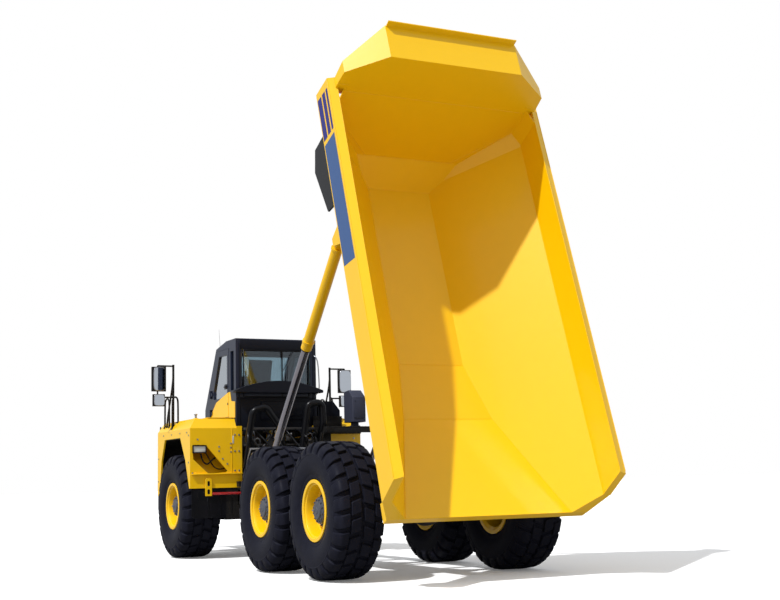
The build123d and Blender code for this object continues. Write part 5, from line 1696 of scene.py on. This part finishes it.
# ------------------------------------------------------------------ frames
@dataclass(frozen=True)
class Frames:
    """Bolts round the hinge pins, brake pipes and tail lamps on the rear frame."""

    pin: tuple[float, float] = (-2.75, 1.584)
    pin_circle: float = 0.045
    tail: float = -2.942

    def pin_bolts(self) -> None:
        """Build the bolts round the dump body's hinge pins."""
        bolts = Cluster("hinge_pin_bolts", Finishes.ZINC, "rear_frame")
        (ahead, up), reach = self.pin, self.pin_circle
        for s in (1, -1):
            for turn in (math.radians(60 * step) for step in range(6)):
                place = (ahead + reach * math.cos(turn), s * 0.512, up + reach * math.sin(turn))
                bolts.heads([place], (0, s, 0), 0.009)
        bolts.done()

    def brake_pipes(self) -> None:
        """Build the brake pipes along the rear frame."""
        pipes = Cluster("brake_pipes", Finishes.RUBBER, "rear_frame")
        for s in (1, -1):
            pipes.pipe([(2.3, s * 0.4, 1.3), (1.6, s * 0.462, 1.33), (0.8, s * 0.466, 1.33),
                        (-1.0, s * 0.466, 1.33), (-2.4, s * 0.466, 1.32)], 0.012)
            for x in (0.0, -1.97):
                pipes.pipe([(x - 0.1, s * 0.46, 1.31), (x - 0.14, s * 0.5, 1.22), (x - 0.12, s * 0.62, 1.1),
                            (x - 0.06, s * 0.72, 1.0)], 0.012)
        pipes.done()

    def tail_lamps(self) -> None:
        """Build the tail lamps."""
        lamps = Cluster("tail_lamp_housings", Finishes.ABS, "rear_frame")
        red = Cluster("tail_lamps", Finishes.RED_LENS, "rear_frame")
        amber = Cluster("rear_signals", Finishes.AMBER_LENS, "rear_frame")
        for s in (1, -1):
            lamps.block((-2.93, s * 0.47, 1.26), (-2.88, s * 0.72, 1.38), 0.008)
            red.block((self.tail, s * 0.48, 1.275), (-2.926, s * 0.6, 1.365), 0.006)
            amber.block((self.tail, s * 0.615, 1.275), (-2.926, s * 0.71, 1.365), 0.006)
        lamps.done()
        red.done()
        amber.done()

    def build(self) -> None:
        """Build the frames' fittings."""
        self.pin_bolts()
        self.brake_pipes()
        self.tail_lamps()


# ------------------------------------------------------------------ stage
@dataclass(frozen=True)
class Stage:
    """Floor, light and camera."""

    floor_size: float = 400.0
    floor_tone: str = "#A8A6A0"
    floor_glow: float = 0.12
    sun_from: Point = (-0.225, 0.557, 0.799)
    sun_strength: float = 3.3
    sun_width: float = 1.2
    sky_strength: float = 0.62
    camera_place: Point = (-16.642, 7.672, 1.256)
    yaw: float = -26.22
    pitch: float = 8.2
    roll: float = -1.41
    lens: float = 57.14
    sensor: float = 36.0
    far: float = 500.0

    def floor(self) -> None:
        """Lay a plain pale floor that shows white where no shadow falls."""
        Bench.clear()
        bpy.ops.mesh.primitive_plane_add(size=self.floor_size, location=(0, 0, 0))
        item = bpy.context.object
        item.name = "floor"
        material = bpy.data.materials.new("pale_floor")
        material.use_nodes = True
        tree = material.node_tree
        tree.nodes.clear()
        cloud = add_node(tree, "TexNoise", {"Scale": 1.5})
        rough = add_node(tree, "MapRange", {"Value": cloud.outputs[0], "To Min": 0.85, "To Max": 0.95})
        rays = add_node(tree, "LightPath")
        tone = add_node(tree, "Mix", {"Factor": rays.outputs["Is Camera Ray"], 6: linear(self.floor_tone),
                                      7: WHITE}, data_type="RGBA")
        lift = add_node(tree, "Math", {0: rays.outputs["Is Camera Ray"], 1: self.floor_glow}, operation="MULTIPLY")
        shader = add_node(tree, "BsdfPrincipled", {
            "Base Color": tone.outputs[2], "Roughness": rough.outputs[0], "Specular IOR Level": 0.1,
            "Emission Color": WHITE, "Emission Strength": lift.outputs[0]})
        add_node(tree, "OutputMaterial", {"Surface": shader.outputs[0]})
        item.data.materials.append(material)

    def light(self) -> None:
        """Hang a sun and a plain sky."""
        sun = bpy.data.lights.new("sun", "SUN")
        sun.energy = self.sun_strength
        sun.angle = math.radians(self.sun_width)
        lamp = bpy.data.objects.new("sun", sun)
        bpy.context.collection.objects.link(lamp)
        lamp.rotation_euler = Vector(self.sun_from).to_track_quat("Z", "Y").to_euler()
        world = bpy.data.worlds.new("sky")
        bpy.context.scene.world = world
        world.use_nodes = True
        tree = world.node_tree
        tree.nodes.clear()
        rays = add_node(tree, "LightPath")
        seen = add_node(tree, "Math", {0: rays.outputs["Is Camera Ray"], 1: rays.outputs["Is Transmission Ray"]},
                        operation="MAXIMUM")
        plain = add_node(tree, "Background", {"Color": (0.95, 0.97, 1.0, 1.0), "Strength": self.sky_strength})
        white = add_node(tree, "Background", {"Color": WHITE, "Strength": 1.0})
        mixed = add_node(tree, "MixShader", {0: seen.outputs[0], 1: plain.outputs[0], 2: white.outputs[0]})
        add_node(tree, "OutputWorld", {"Surface": mixed.outputs[0]})

    def camera(self) -> None:
        """Set up the camera behind and to the left of the truck, near the ground."""
        data = bpy.data.cameras.new("camera")
        data.lens = self.lens
        data.sensor_width = self.sensor
        data.sensor_fit = "HORIZONTAL"
        data.clip_end = self.far
        item = bpy.data.objects.new("camera", data)
        bpy.context.collection.objects.link(item)
        yaw, pitch, roll = (math.radians(v) for v in (self.yaw, self.pitch, self.roll))
        ahead = Vector((math.cos(yaw) * math.cos(pitch), math.sin(yaw) * math.cos(pitch), math.sin(pitch)))
        level = Vector((math.sin(yaw), -math.cos(yaw), 0))
        upward = level.cross(ahead)
        right = level * math.cos(roll) + upward * math.sin(roll)
        turn = Matrix((right, right.cross(ahead), -ahead)).transposed().to_4x4()
        item.matrix_world = Matrix.Translation(at(*self.camera_place)) @ turn
        bpy.context.scene.camera = item

    def build(self) -> None:
        """Set the stage."""
        self.floor()
        self.light()
        self.camera()
        bpy.context.scene.view_settings.view_transform = "Standard"


def dress_the_rest() -> None:
    """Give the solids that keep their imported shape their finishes."""
    plan = {
        Finishes.YELLOW: ["fender_left", "fender_right", "hood"],
        Finishes.SLATE: ["cab_shell", "cab_door"],
        Finishes.CHASSIS: ["rear_frame", "front_frame", "hitch_yoke", "equaliser_beams", "drive_shafts", "mirrors",
                           "belly_tank", "steering_barrel_left", "steering_barrel_right"],
        Finishes.CASTING: ["front_axle", "middle_axle", "rear_axle", "engine_block"],
        Finishes.CHROME: ["steering_rod_left", "steering_rod_right"],
        Finishes.RUBBER: ["hoses"],
        Finishes.ABS: ["air_cleaner", "cab_fittings"],
        Finishes.GLASS: ["cab_glass"],
        Finishes.FILM_GLASS: ["door_glass"]}
    for finish, nodes in plan.items():
        for node in nodes:
            dress_node(node, finish)


def main() -> None:
    """Build the truck's looks in order."""
    logging.basicConfig(level=logging.INFO, format="%(message)s")
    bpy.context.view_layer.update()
    dress_the_rest()
    for axle in ("front", "middle", "rear"):
        for side in Side:
            Wheel(axle, side).build()
    DumpBody().build()
    for side in Side:
        Hoist(side).build()
        Fender(side).build()
        Mirror(side).build()
    Cab().build()
    RearClutter().build()
    Front().build()
    Frames().build()
    Stage().build()


if __name__ == "__main__":
    main()
